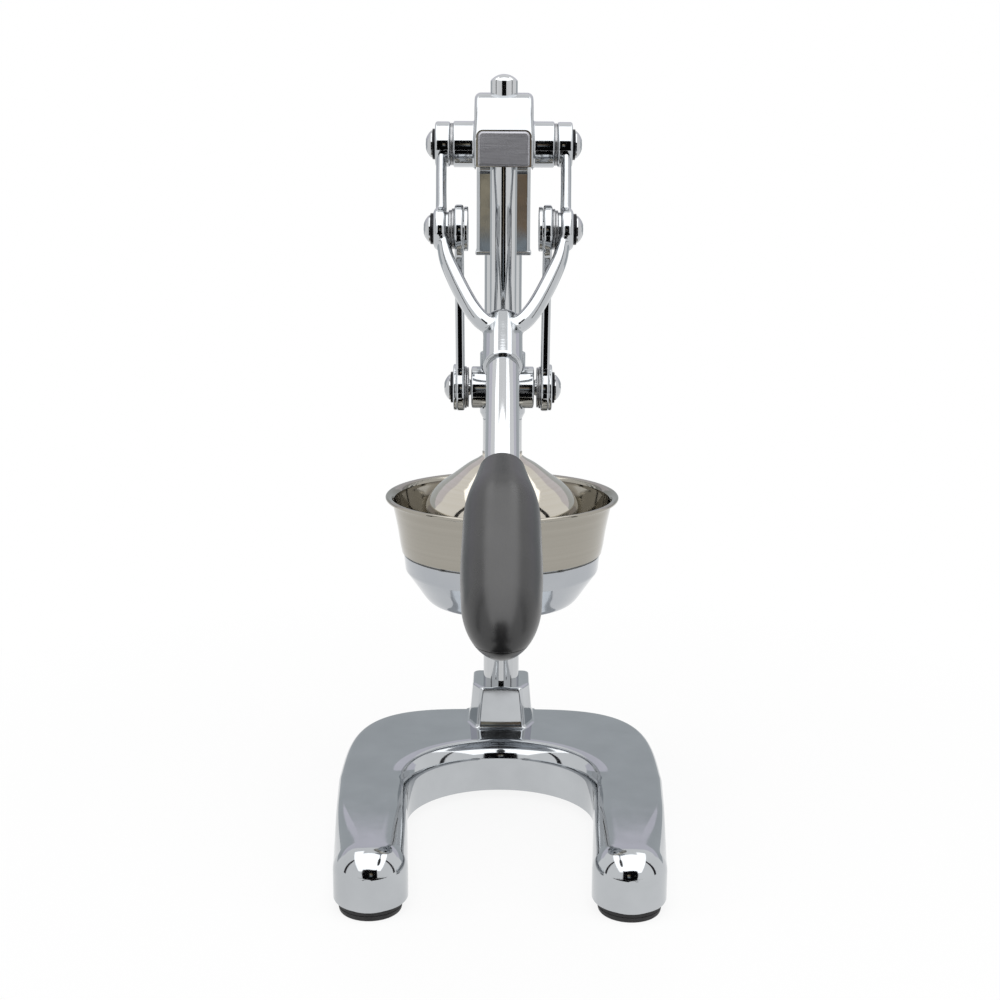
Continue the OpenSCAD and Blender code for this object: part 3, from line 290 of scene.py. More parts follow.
# %% Lamps
def add_lamp(name, place, aim, width, height, watts):
    """A soft lamp aimed at a place. It lights the dull surfaces, and the cards light the gloss."""
    bpy.ops.object.select_all(action="DESELECT")
    turn = (aim - place).to_track_quat("-Z", "Y").to_euler()
    bpy.ops.object.light_add(type="AREA", location=place, rotation=turn)
    lamp = bpy.context.object
    lamp.name = name
    lamp.data.shape = "RECTANGLE"
    lamp.data.size, lamp.data.size_y = width, height
    lamp.data.energy = watts
    lamp.visible_glossy = False


HEART = at(0, 0, 230)
add_lamp("lamp_overhead", at(0, 350, 1350), HEART, 0.9, 1.1, 9.0)
for name, side in (("lamp_left", -1150), ("lamp_right", 1150)):
    add_lamp(name, at(side, 450, 700), HEART, 0.5, 1.0, 3.0)

# %% [markdown]
# ## Finishes
# Each finish starts from the real one. Chrome plating is a thin mirror over whatever lies below it:
# over a sand-polished casting it is a little wavy, over drawn tube it has faint lines along the
# tube. Spun stainless steel has fine rings round its axis and a warmer tone.

# %% Shared pieces of the finishes
def object_place(tree, scale=(1, 1, 1), turn=(0, 0, 0), shift=(0, 0, 0)):
    """Object coordinates in millimetres, turned and stretched as the pattern needs."""
    coordinates = add_node(tree, "ShaderNodeTexCoord")
    moved = add_node(tree, "ShaderNodeMapping", {"Vector": coordinates.outputs["Object"],
                                                 "Location": shift})
    turned = add_node(tree, "ShaderNodeMapping", {"Vector": moved.outputs[0], "Rotation": turn})
    return add_node(tree, "ShaderNodeMapping", {
        "Vector": turned.outputs[0], "Scale": [s / MM for s in scale]}).outputs[0]


def noise(tree, place, size_mm, detail=2, roughness=0.5):
    """Noise with features of about this many millimetres."""
    return add_node(tree, "ShaderNodeTexNoise", {"Vector": place, "Scale": 1 / size_mm, "Detail": detail,
                                                 "Roughness": roughness}).outputs[0]


def spread(tree, value, low, high):
    """A pattern's middle stretch mapped to a range."""
    return add_node(tree, "ShaderNodeMapRange", {"Value": value, "From Min": 0.3, "From Max": 0.7,
                                                 "To Min": low, "To Max": high}).outputs[0]


def shade(tree, colour_low, colour_high, pattern, **settings):
    """Principled shader whose colour moves between two hex values with a pattern."""
    mix = add_node(tree, "ShaderNodeMix", {0: spread(tree, pattern, 0, 1), 6: linear(colour_low),
                                           7: linear(colour_high)}, data_type="RGBA")
    inputs = {"Base Color": mix.outputs[2]}
    inputs.update(settings)
    shader = add_node(tree, "ShaderNodeBsdfPrincipled", inputs)
    add_node(tree, "ShaderNodeOutputMaterial", {"Surface": shader.outputs[0]})


def bump(tree, height, depth_mm, below=None):
    """Bump of a depth in millimetres, on top of another bump if there is one."""
    inputs = {"Height": height, "Distance": depth_mm * MM, "Strength": 1.0}
    if below is not None:
        inputs["Normal"] = below
    return add_node(tree, "ShaderNodeBump", inputs).outputs[0]

# %% Chrome over a polished casting
POLISHED = (0.05, 0.1)


def chrome_casting(name, low, high, wave_depth=0.03):
    """Decorative chrome on die-cast metal, buffed by hand: the skin rolls gently, with a fine haze."""
    material, tree = empty_material(name)
    place = object_place(tree)
    waves = bump(tree, noise(tree, place, 16, 1), wave_depth)
    haze = bump(tree, noise(tree, place, 0.6, 3), 0.0015, below=waves)
    shade(tree, low, high, noise(tree, place, 30, 3),
          Metallic=1.0, Roughness=spread(tree, noise(tree, place, 9, 4), *POLISHED), Normal=haze)
    return material


# %% Chrome over drawn tube
def chrome_tube(name, low, high, tilt=0):
    """Hard chrome on drawn steel, ground along its length: long faint lines that run with the tube."""
    material, tree = empty_material(name)
    drawn = object_place(tree, scale=(1, 1, 0.02), turn=(tilt, 0, 0), shift=(0, -AXIS_Y, 0))
    lines = bump(tree, noise(tree, drawn, 0.7, 3), 0.002)
    shade(tree, low, high, noise(tree, drawn, 3, 2),
          Metallic=1.0, Roughness=spread(tree, noise(tree, drawn, 1.4, 4), *POLISHED), Normal=lines)
    return material


# %% Spun stainless steel
def spun_steel(name, low, high):
    """Stainless sheet spun over a form: the tool leaves fine rings round the axis, then a polish."""
    material, tree = empty_material(name)
    place = object_place(tree, shift=(0, -AXIS_Y, 0))
    parts = add_node(tree, "ShaderNodeSeparateXYZ", {0: place})
    flat = add_node(tree, "ShaderNodeCombineXYZ", {0: parts.outputs[0], 1: parts.outputs[1]})
    radius = add_node(tree, "ShaderNodeVectorMath", {0: flat.outputs[0]}, operation="LENGTH")
    rings_at = add_node(tree, "ShaderNodeCombineXYZ", {0: radius.outputs["Value"],
                                                       1: parts.outputs[2]}).outputs[0]
    rings = bump(tree, noise(tree, rings_at, 0.9, 3), 0.0004)
    rolled = bump(tree, noise(tree, place, 22, 1), 0.03, below=rings)
    shade(tree, low, high, noise(tree, rings_at, 2.5, 3),
          Metallic=1.0, Roughness=spread(tree, noise(tree, rings_at, 1.6, 4), *POLISHED), Normal=rolled)
    return material


# %% Satin plate, moulded grip, rubber and small hardware
def satin_plate(name):
    """Aluminium plate, brushed sideways and clear anodised."""
    material, tree = empty_material(name)
    brushed = object_place(tree, scale=(0.03, 1, 1))
    lines = bump(tree, noise(tree, brushed, 0.25, 3), 0.004)
    shade(tree, "#98989d", "#ababb0", noise(tree, brushed, 0.5, 3),
          Metallic=1.0, Roughness=spread(tree, noise(tree, brushed, 0.8, 3), 0.36, 0.46), Normal=lines)
    return material


def moulded_grip(name):
    """ABS moulded with a fine grain: charcoal, satin, and a little shinier than new from the palm."""
    material, tree = empty_material(name)
    place = object_place(tree)
    grain = bump(tree, noise(tree, place, 0.35, 2), 0.012)
    shade(tree, "#1a1a1b", "#212122", noise(tree, place, 14, 4),
          Roughness=spread(tree, noise(tree, place, 18, 4), 0.26, 0.33), Normal=grain, IOR=1.62)
    return material


def soft_rubber(name):
    """Black moulded rubber, dull, with a faint bloom."""
    material, tree = empty_material(name)
    place = object_place(tree)
    skin = bump(tree, noise(tree, place, 0.5, 3), 0.02)
    shade(tree, "#0d0d0e", "#17171a", noise(tree, place, 5, 4),
          Roughness=spread(tree, noise(tree, place, 7, 3), 0.5, 0.68), Normal=skin)
    return material


def small_metal(name, low, high, rough):
    """Turned and plated hardware: zinc, black oxide or bronze, with a slight mottle."""
    material, tree = empty_material(name)
    place = object_place(tree)
    skin = bump(tree, noise(tree, place, 0.4, 3), 0.004)
    shade(tree, low, high, noise(tree, place, 2.5, 4),
          Metallic=1.0, Roughness=spread(tree, noise(tree, place, 3, 3), *rough), Normal=skin)
    return material


FINISH = {
    "cast_chrome": chrome_casting("chrome_on_casting", "#b3b6b9", "#bdc0c3"),
    "bowl_chrome": chrome_casting("chrome_on_bowl", "#a8acb1", "#b1b4b8", wave_depth=0.02),
    "tube_chrome": chrome_tube("chrome_on_tube", "#bcbec0", "#c6c8ca"),
    "lever_chrome": chrome_tube("chrome_on_lever_tube", "#bcbec0", "#c6c8ca", tilt=-math.radians(123)),
    "stainless": spun_steel("spun_stainless", "#9c988f", "#a19d94"),
    "bell_steel": spun_steel("spun_bell_steel", "#c2bcb0", "#c7c2b8"),
    "plate_satin": satin_plate("anodised_plate"),
    "screw_chrome": small_metal("chrome_screw", "#b5b7b9", "#c0c2c4", (0.08, 0.14)),
    "zinc_steel": small_metal("zinc_plated_steel", "#8f9092", "#a3a4a6", (0.22, 0.34)),
    "dark_washer": small_metal("black_oxide_washer", "#1b1b1d", "#28282b", (0.3, 0.42)),
    "set_screw": small_metal("black_oxide_screw", "#202022", "#2c2c2f", (0.3, 0.45)),
    "bush_brass": small_metal("bearing_bronze", "#9a7744", "#b18b55", (0.25, 0.38)),
    "grip_plastic": moulded_grip("moulded_abs_grip"),
    "foot_rubber": soft_rubber("black_rubber")}
SLOT_OF = {part["node"]: part["material_slot"] for part in frame["record"]["subparts"]}
BODY_OF = {node: body for body, nodes in frame["record"]["behaviour"]["bodies"].items()
           for node in nodes}
print("finishes:", ", ".join(sorted(FINISH)))

# %% [markdown]
# ## Helpers for modelling
# Nearly everything on a press is turned on a lathe, cut from plate or cast. Three ways of working
# follow from that: a profile that is drawn and spun, an outline that is drawn and extruded, and a
# ring that is extruded from place to place. Each begins with a primitive and ends with a bevel.

# %% Selecting and finishing
TURN_STEPS = 128
SMOOTH_ANGLE = math.radians(32)


def activate(piece):
    bpy.ops.object.select_all(action="DESELECT")
    piece.select_set(True)
    bpy.context.view_layer.objects.active = piece


def modified(piece, kind, **settings):
    """Adds a modifier and applies it."""
    activate(piece)
    bpy.ops.object.modifier_add(type=kind)
    modifier = piece.modifiers[-1]
    for name, value in settings.items():
        setattr(modifier, name, value)
    bpy.ops.object.modifier_apply(modifier=modifier.name)
    return piece


def settled(piece, turn=(0, 0, 0), place=(0, 0, 0)):
    """Turns and moves a piece, then applies that, so its object sits at the origin."""
    piece.rotation_euler = turn
    piece.location = place
    activate(piece)
    bpy.ops.object.transform_apply(location=True, rotation=True, scale=True)
    return piece


def joined(name, pieces):
    """Several pieces in one object."""
    activate(pieces[0])
    for piece in pieces[1:]:
        piece.select_set(True)
    bpy.ops.object.join()
    whole = bpy.context.object
    whole.name = whole.data.name = name
    return whole


def carved(piece, cutter):
    """Cuts one piece out of another."""
    modified(piece, "BOOLEAN", operation="DIFFERENCE", solver="EXACT", object=cutter)
    bpy.data.objects.remove(cutter)
    return piece


def rounded(piece, width, segments=3, angle=32):
    """Rounds every edge that is sharper than an angle."""
    return modified(piece, "BEVEL", width=width * MM, segments=segments, limit_method="ANGLE",
                    angle_limit=math.radians(angle), use_clamp_overlap=True)


def fitted(piece, *nodes, finish=None, flats=True):
    """Shades a finished piece, gives it its finish, and puts it in the place of its CAD nodes."""
    activate(piece)
    bpy.ops.object.shade_smooth_by_angle(angle=SMOOTH_ANGLE)
    if flats:
        modified(piece, "WEIGHTED_NORMAL", keep_sharp=True, weight=80)
    piece.data.materials.clear()
    piece.data.materials.append(FINISH[finish or SLOT_OF[nodes[0]]])
    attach(piece, BODY_OF[nodes[0]])
    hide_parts(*nodes)
    print("  %-24s %6d faces for %s" % (piece.name, len(piece.data.polygons), ", ".join(nodes)))
    return piece

# %% Drawing, spinning and extruding
def draw_line(name, points):
    """Draws a line of edges by extruding one vertex from point to point. Leaves it in edit mode."""
    bpy.ops.object.select_all(action="DESELECT")
    bpy.ops.mesh.primitive_plane_add(size=MM)
    piece = bpy.context.object
    piece.name = piece.data.name = name
    bpy.ops.object.mode_set(mode="EDIT")
    bpy.ops.mesh.merge(type="CENTER")
    bpy.ops.transform.translate(value=points[0])
    for before, after in zip(points, points[1:]):
        bpy.ops.mesh.extrude_region_move(TRANSFORM_OT_translate={"value": after - before})
    bpy.ops.mesh.select_all(action="SELECT")
    return piece


def spun(name, profile, steps=TURN_STEPS):
    """Turns a profile of (radius, height) points, in millimetres, round Z."""
    piece = draw_line(name, [Vector((r * MM, 0, h * MM)) for r, h in profile])
    bpy.ops.mesh.spin(steps=steps, angle=math.tau, center=(0, 0, 0), axis=(0, 0, 1))
    bpy.ops.mesh.select_all(action="SELECT")
    bpy.ops.mesh.remove_doubles(threshold=MM / 200)
    bpy.ops.mesh.normals_make_consistent(inside=False)
    bpy.ops.object.mode_set(mode="OBJECT")
    return piece


def cut_plate(name, outline, thickness):
    """Draws a closed outline, fills it and extrudes it along Z, in millimetres."""
    points = [Vector((x * MM, y * MM, 0)) for x, y in outline]
    piece = draw_line(name, points + points[:1])
    bpy.ops.mesh.remove_doubles(threshold=MM / 200)
    bpy.ops.mesh.edge_face_add()
    bpy.ops.mesh.extrude_region_move(TRANSFORM_OT_translate={"value": (0, 0, thickness * MM)})
    bpy.ops.mesh.select_all(action="SELECT")
    bpy.ops.mesh.normals_make_consistent(inside=False)
    bpy.ops.object.mode_set(mode="OBJECT")
    return piece


def swept(name, rings):
    """Extrudes a circle from ring to ring, each a list of places in metres, and fills both ends."""
    count = len(rings[0])
    bpy.ops.object.select_all(action="DESELECT")
    bpy.ops.mesh.primitive_circle_add(vertices=count, radius=MM)
    piece = bpy.context.object
    piece.name = piece.data.name = name
    bpy.ops.object.mode_set(mode="EDIT")
    mesh = bmesh.from_edit_mesh(piece.data)
    mesh.verts.ensure_lookup_table()
    last = list(range(count))
    for i in last:
        mesh.verts[i].co = rings[0][i]
    for ring in rings[1:]:
        bpy.ops.mesh.extrude_region_move()
        mesh = bmesh.from_edit_mesh(piece.data)
        mesh.verts.ensure_lookup_table()
        new = []
        for i, old in enumerate(last):
            vertex = next(e.other_vert(mesh.verts[old]) for e in mesh.verts[old].link_edges
                          if e.other_vert(mesh.verts[old]).select)
            vertex.co = ring[i]
            new.append(vertex.index)
        last = new
    bpy.ops.mesh.select_all(action="SELECT")
    bpy.ops.mesh.fill_holes(sides=0)
    bpy.ops.mesh.select_all(action="SELECT")
    bpy.ops.mesh.normals_make_consistent(inside=False)
    bpy.ops.object.mode_set(mode="OBJECT")
    return piece


def block(name, low, high):
    """A box between two corners (sideways, forward, up), as a start or a cutter."""
    a, b = at(*low), at(*high)
    outline = [(a.x, a.y), (b.x, a.y), (b.x, b.y), (a.x, b.y)]
    piece = cut_plate(name, [(x / MM, y / MM) for x, y in outline], high[2] - low[2])
    return settled(piece, place=(0, 0, low[2] * MM))


def plain_round(name, radius, low, high, steps=64):
    """A cylinder along Z with square edges, as a cutter or a peg."""
    return spun(name, [(0, low), (radius, low), (radius, high), (0, high)], steps)

# %% Curves and placings
CLEAR = 0.05  # between a bore and what it holds, in millimetres


def arc(centre, radius, start, end, steps=8):
    """Points round a centre, angles in degrees."""
    return [(centre[0] + radius * math.cos(math.radians(start + (end - start) * k / steps)),
             centre[1] + radius * math.sin(math.radians(start + (end - start) * k / steps)))
            for k in range(steps + 1)]


def smooth_curve(points, steps):
    """A curve through points: each stretch leaves along the chord of its neighbours."""
    made = []
    for i in range(len(points) - 1):
        a, b, c, d = (points[max(0, min(len(points) - 1, i + k))] for k in (-1, 0, 1, 2))
        for k in range(steps):
            t = k / steps
            made.append(tuple(0.5 * (2 * q + (r - p) * t + (2 * p - 5 * q + 4 * r - s) * t ** 2
                                     + (3 * q - p - 3 * r + s) * t ** 3) for p, q, r, s in zip(a, b, c, d)))
    return made + [tuple(points[-1])]


def eased(outline, radius, steps=5):
    """An outline whose corners are arcs, each of its own radius or of one radius for all."""
    made = []
    for i, corner in enumerate(outline):
        r = radius[i] if isinstance(radius, (list, tuple)) else radius
        p = Vector(corner)
        if r == 0:
            made.append(tuple(p))
            continue
        a = (Vector(outline[i - 1]) - p).normalized()
        b = (Vector(outline[(i + 1) % len(outline)]) - p).normalized()
        half = a.angle(b) / 2
        centre = p + (a + b).normalized() * (r / math.sin(half))
        start, end = p + a * (r / math.tan(half)) - centre, p + b * (r / math.tan(half)) - centre
        turn = math.atan2(start.x * end.y - start.y * end.x, start.dot(end))
        for k in range(steps + 1):
            c, s = math.cos(turn * k / steps), math.sin(turn * k / steps)
            made.append((centre.x + start.x * c - start.y * s, centre.y + start.x * s + start.y * c))
    return made


def on_axis(piece, height=0):
    """Stands a turned piece on the plunger's axis."""
    return settled(piece, place=at(0, 0, height))


def on_column(piece, height=0):
    """Stands a turned piece on the column's axis."""
    return settled(piece, place=at(0, COLUMN_F, height))


def on_pivot(piece, side, forward, height):
    """Lays a turned piece on a pivot, its height pointing away from the middle."""
    return settled(piece, turn=(0, math.radians(90 * side), 0), place=at(0, forward, height))


LEVER_SLOPE = 33
LEVER_FOOT = (0, 60, PIVOT_Z - 97.7)


def on_lever(piece):
    """Lays a turned piece along the lever tube, its height measured from the fork's socket."""
    return settled(piece, turn=(math.radians(90 + LEVER_SLOPE), 0, 0), place=at(*LEVER_FOOT))


def disc(low, high, outer, inner=0, edge=0.5):
    """Profile of a disc or ring with rounded edges, closed."""
    corners = [(outer, low), (outer, high), (inner, high), (inner, low)]
    made = eased(corners, [edge, edge, 0, 0], 4)
    return [(0, low)] + made[:-1] if inner == 0 else made + made[:1]

# %% [markdown]
# ## Base
# The base is one casting: a thick horseshoe, round at the toes, with a six-sided post at the back
# that holds the column. Its outline is a flat superellipse outside and an ellipse inside. One
# cross-section is carried round from toe to toe: its edge is rounded 11 mm at the arch and 4 mm
# outside. Along the legs both roundings grow to the 14 mm that runs right round each toe.

# %% Base outline
base_low, base_high = node_box("base_casting")
BASE_TOP = 35
BASE_LOW = base_low.z
HALF_W = base_high.x
BOW_CENTRE = 18
BOW_R = BOW_CENTRE - base_low.y
BOW_POWER = 3.7
ARCH_HALF = 53.3
ARCH_R = 49
TOE_DRAW = 6
TOE_REACH = base_high.y
TOE_ROUND, TOE_NOSE, TOE_TIP = 19, 14, 0.992
TOE_START = TOE_REACH - TOE_ROUND
TOE_MIDDLE, TOE_HALF = (HALF_W + ARCH_HALF) / 2 - TOE_DRAW, (HALF_W - ARCH_HALF) / 2
EDGE_OUT, EDGE_ARCH, EDGE_LOW, GROW_FROM = 4, 11, 1.2, 0.35
TOE_RATIO = TOE_HALF / TOE_ROUND


def bow_station(a):
    """Inner place, outer place and both edge radii of the bow, from the back, a = 0, to a leg."""
    inner = 1 / math.hypot(math.sin(a) / ARCH_HALF, math.cos(a) / ARCH_R)
    outer = (abs(math.sin(a) / HALF_W) ** BOW_POWER
             + abs(math.cos(a) / BOW_R) ** BOW_POWER) ** (-1 / BOW_POWER)
    middle, ray = Vector((0, BOW_CENTRE)), Vector((math.sin(a), -math.cos(a)))
    return middle + inner * ray, middle + outer * ray, EDGE_ARCH, EDGE_OUT


def leg_station(t):
    """The same along a leg, from the bow, t = 0, to the toe. The roundings grow on the way."""
    forward = BOW_CENTRE + (TOE_START - BOW_CENTRE) * t
    grown = max(0, t - GROW_FROM) / (1 - GROW_FROM)
    grown = grown * grown * (3 - 2 * grown)
    return (Vector((ARCH_HALF - TOE_DRAW * t, forward)), Vector((HALF_W - TOE_DRAW * t, forward)),
            EDGE_ARCH + (TOE_NOSE - EDGE_ARCH) * grown, EDGE_OUT + (TOE_NOSE - EDGE_OUT) * grown)


def section_ring(side, inner, outer, top_line):
    """A cross-section from the foot of the inner wall over the top to the foot of the outer wall."""
    width = (outer - inner).length
    across = (outer - inner) / width
    low = min(EDGE_LOW, width * 0.2)
    line = [(low, BASE_LOW), (low * 0.3, BASE_LOW + low * 0.3), (0, BASE_LOW + low)] + top_line
    line += [(width, BASE_LOW + low), (width - low * 0.3, BASE_LOW + low * 0.3), (width - low, BASE_LOW)]
    return [at(side * (inner.x + across.x * d), inner.y + across.y * d, h) for d, h in line]


def station_ring(station, side):
    """A cross-section of the bow or a leg."""
    inner, outer, r_in, r_out = station
    width = (outer - inner).length
    return section_ring(side, inner, outer, arc((r_in, BASE_TOP - r_in), r_in, 180, 90, 10)
                        + arc((width - r_out, BASE_TOP - r_out), r_out, 90, 0, 10))


def toe_ring(t, side):
    """A cross-section of the toe, a round block with a rounded edge, from its middle to its tip."""
    ahead = TOE_ROUND * TOE_TIP * math.sin(math.pi / 2 * t)
    half = math.sqrt(TOE_ROUND ** 2 - ahead ** 2)
    most = math.acos(max(0, min(1, (ahead - TOE_ROUND + TOE_NOSE) / TOE_NOSE)))
    rise = []
    for k in range(11):
        a = most * k / 10
        reach = math.sqrt(max(0, (TOE_ROUND - TOE_NOSE + TOE_NOSE * math.cos(a)) ** 2 - ahead ** 2))
        rise.append(((half - reach) * TOE_RATIO, BASE_TOP - TOE_NOSE + TOE_NOSE * math.sin(a)))
    fall = [(2 * half * TOE_RATIO - d, h) for d, h in reversed(rise)]
    forward = TOE_START + ahead
    return section_ring(side, Vector((TOE_MIDDLE - half * TOE_RATIO, forward)),
                        Vector((TOE_MIDDLE + half * TOE_RATIO, forward)), rise + fall)


BOW_STEPS, TOE_STEPS, LEG_STEPS = 40, 18, 16
stations = ([bow_station(math.pi / 2 * i / BOW_STEPS) for i in range(BOW_STEPS)]
            + [leg_station(i / LEG_STEPS) for i in range(LEG_STEPS)])
left_side, right_side = ([station_ring(s, side) for s in stations]
                         + [toe_ring(i / TOE_STEPS, side) for i in range(TOE_STEPS + 1)]
                         for side in (-1, 1))
print("base:", len(right_side), "stations on each side")

# %% Base skin and its hollow
base = swept("base_shell", left_side[:0:-1] + right_side)
bpy.ops.object.mode_set(mode="EDIT")
bpy.ops.mesh.select_all(action="SELECT")
bpy.ops.mesh.remove_doubles(threshold=MM / 500)
bpy.ops.object.mode_set(mode="OBJECT")

BASE_WALL, HOLLOW_TOP, HOLLOW_STEPS, HOLLOW_REACH = 6, 28, 24, 0.97
hollow_side = [bow_station(math.pi / 2 * i / HOLLOW_STEPS) for i in range(HOLLOW_STEPS)]
hollow_side.append(leg_station(HOLLOW_REACH))
hollow_out = [s[1] + (s[0] - s[1]).normalized() * BASE_WALL for s in hollow_side]
hollow_in = [s[0] + (s[1] - s[0]).normalized() * BASE_WALL for s in hollow_side]
right = hollow_out + hollow_in[::-1]
left = [Vector((-p.x, p.y)) for p in hollow_in[1:] + hollow_out[:0:-1]]
hollow = cut_plate("hollow", [(p.x, AXIS_Y / MM - p.y) for p in right + left], HOLLOW_TOP)
carved(base, settled(hollow))
print("base shell:", len(base.data.polygons), "faces")

# %% [markdown]
# The post is drawn as one six-sided outline with eased corners and swept upwards: a small flare
# where it grows out of the base, a straight draft, and a rounded shoulder at the top. From below,
# bosses take the foot screws and the column's bolt.

# %% Post and bosses of the base
POST_TOP = base_high.z
POST_W, POST_FRONT_W, POST_FLARE, POST_RAKE = 35, 25, 1.8, 0.5
POST_BACK, POST_FRONT, POST_SHOULDER, POST_EDGE, POST_FOOT = 16, 18.5, 8.3, 1.6, 2.5
POST_CORNERS = [3.2, 3.2, 4, 3, 3, 4]


def post_ring(grow, rake, height):
    """The post's plan at a height, grown all round, with its front raked forward."""
    w, fw = POST_W / 2 + grow, POST_FRONT_W / 2 + grow
    front, back = POST_FRONT + rake + grow / 2, POST_BACK + min(grow, POST_FLARE) / 2
    plan = [(-fw, front), (fw, front), (w, POST_SHOULDER), (w, -back), (-w, -back), (-w, POST_SHOULDER)]
    return [at(x, f + COLUMN_F, height) for x, f in eased(plan, POST_CORNERS, 8)]


post_rings = [post_ring(POST_FLARE + POST_FOOT * (1 - math.sin(math.radians(a))), POST_RAKE,
                        BASE_TOP - 0.05 + POST_FOOT * (1 - math.cos(math.radians(a))))
              for a in range(0, 91, 10)]
post_rings += [post_ring(POST_FLARE * (1 - k / 4), POST_RAKE * (1 - k / 4),
                         BASE_TOP + POST_FOOT + (POST_TOP - POST_EDGE - BASE_TOP - POST_FOOT) * k / 4)
               for k in (1, 2, 3)]
for a in range(0, 91, 15):
    drawn_in = -POST_EDGE * (1 - math.cos(math.radians(a)))
    post_rings.append(post_ring(drawn_in, drawn_in, POST_TOP - POST_EDGE * (1 - math.sin(math.radians(a)))))
post = swept("post_skin", post_rings)

BOSS_LOW, BOSS_R, FOOT_BOSS_R, BOSS_TOP = 20, 17, 9, HOLLOW_TOP + 1


def boss_line(radius, low):
    """Profile of a boss in the hollow. It reaches 1 mm into the casting above it."""
    return eased([(0, low), (radius, low), (radius, BOSS_TOP), (0, BOSS_TOP)], [0, 1, 0, 0], 4)


bosses = [on_column(spun("column_boss", boss_line(BOSS_R, BOSS_LOW)))]
FEET = {}
for foot in ("front_left", "front_right", "rear_left", "rear_right"):
    low, high = node_box("foot_pad_" + foot)
    middle = (low + high) / 2
    FEET[foot] = at(middle.x, middle.y, 0)
    bosses.append(settled(spun("foot_boss", boss_line(FOOT_BOSS_R, BASE_LOW), 48), place=FEET[foot]))
fitted(joined("base", [base, post] + bosses), "base_casting")

# %% [markdown]
# ## Feet
# Four thick rubber washers. A moulded foot has a rounded tread edge and a shallow groove where the
# mould parts, and its screw sits in a recess underneath.

# %% Feet
PAD_R, PAD_H, PAD_RECESS_R, PAD_HOLE_R, PAD_RECESS_H = 16.5, 5, 5.25, 2.55, 3.4
PAD_PROFILE = eased([(PAD_RECESS_R, 0), (PAD_R - 0.5, 0), (PAD_R, PAD_H * 0.55),
                     (PAD_R - 0.35, PAD_H * 0.6), (PAD_R - 0.05, PAD_H * 0.65), (PAD_R, PAD_H),
                     (PAD_HOLE_R, PAD_H), (PAD_HOLE_R, PAD_RECESS_H), (PAD_RECESS_R, PAD_RECESS_H)],
                    [0.4, 1.2, 0, 0, 0, 0.4, 0, 0, 0])
for foot, place in FEET.items():
    pad = spun("foot_" + foot, PAD_PROFILE + PAD_PROFILE[:1])
    fitted(settled(pad, place=place), "foot_pad_" + foot)

# %% [markdown]
# ## Column and plunger rod
# Both are round and bright. The column is a tube, open at both ends inside the castings. The rod is
# solid, with a low domed top that stands out of the head.

# %% Column and rod
COLUMN_R, COLUMN_WALL = 11, 2.5
column = spun("column", disc(column_low.z, column_high.z, COLUMN_R, COLUMN_R - COLUMN_WALL))
fitted(on_column(column), "column_tube")

rod_foot, rod_top = node_box("plunger_rod")
ROD_R, ROD_DOME = rod_top.x, 3.4
ball = (ROD_R ** 2 + ROD_DOME ** 2) / (2 * ROD_DOME)
dome = arc((0, rod_top.z - ball), ball, math.degrees(math.acos(ROD_R / ball)), 90, 20)
rod_profile = eased([(0, rod_foot.z), (ROD_R, rod_foot.z), dome[0], dome[2]], [0, 0.8, 1.2, 0], 6)
rod_profile = rod_profile[:-1] + dome[2:]
fitted(on_axis(spun("rod", rod_profile)), "plunger_rod", flats=False)

# %% [markdown]
# ## Head
# The head casting is a bar that reaches forward from the column, with a quarter-round hood in
# front and a skirt round the column behind. Its side view is carried from one cheek to the other,
# and drawn in towards each cheek, so that the hood's side edges are rounded more than the rest.

# %% Head casting
head_low, head_high = node_box("head_casting")
HEAD_HALF, HEAD_R, HEAD_EDGE = 15.5, 18, 3.2
HOOD_R, HOOD_LEAN, HOOD_BLEND = 14, 2.8, 14
NOSE_FACE, NOSE_EDGE, NOSE_START = 14, 1.3, 1.4
SKIRT_FILLET, SKIRT_EDGE = 4, 2.3
HEAD_UNDER, SKIRT_LOW, HEAD_TOP = PIVOT_Z - 11.8, head_low.z, head_high.z
NOSE, HEAD_BACK, SKIRT_FRONT = 17, -93.1, COLUMN_F + 15.5
ON_SIDE = (math.radians(90), 0, math.radians(90))
UPRIGHT = (math.radians(90), 0, 0)
hood_centre = Vector((NOSE - HOOD_LEAN - HOOD_R, HEAD_TOP - HOOD_R))
face_top = Vector((NOSE, HEAD_UNDER + NOSE_FACE))
to_face = face_top - hood_centre
hood_start = math.degrees(math.atan2(to_face.y, to_face.x) + math.acos(HOOD_R / to_face.length))
hood_arc = arc(hood_centre, HOOD_R, hood_start, 90, 40)
hood_foot = [(NOSE, HEAD_UNDER + NOSE_START), tuple(face_top), hood_arc[0]]
side_view = (arc((NOSE - NOSE_EDGE, HEAD_UNDER + NOSE_EDGE), NOSE_EDGE, -90, 0, 4)
             + eased(hood_foot, [0, HOOD_BLEND, 0], 8)[1:-1]
             + hood_arc
             + arc((HEAD_BACK + HEAD_R, HEAD_TOP - HEAD_R), HEAD_R, 90, 180, 24)
             + arc((HEAD_BACK + SKIRT_EDGE, SKIRT_LOW + SKIRT_EDGE), SKIRT_EDGE, 180, 270, 4)
             + arc((SKIRT_FRONT - SKIRT_EDGE, SKIRT_LOW + SKIRT_EDGE), SKIRT_EDGE, -90, 0, 4)
             + arc((SKIRT_FRONT + SKIRT_FILLET, HEAD_UNDER - SKIRT_FILLET), SKIRT_FILLET, 180, 90, 10))


def head_edge(forward, height):
    """Rounding of the side edge: small below the arm, more on the skirt, most over the hood."""
    share = max(0, min(1, (height - face_top.y) / (HEAD_TOP - face_top.y)))
    return max(1.0 + (HEAD_EDGE - 1.0) * share ** 0.6, 2.0 if forward < SKIRT_FRONT + 5 else 0)


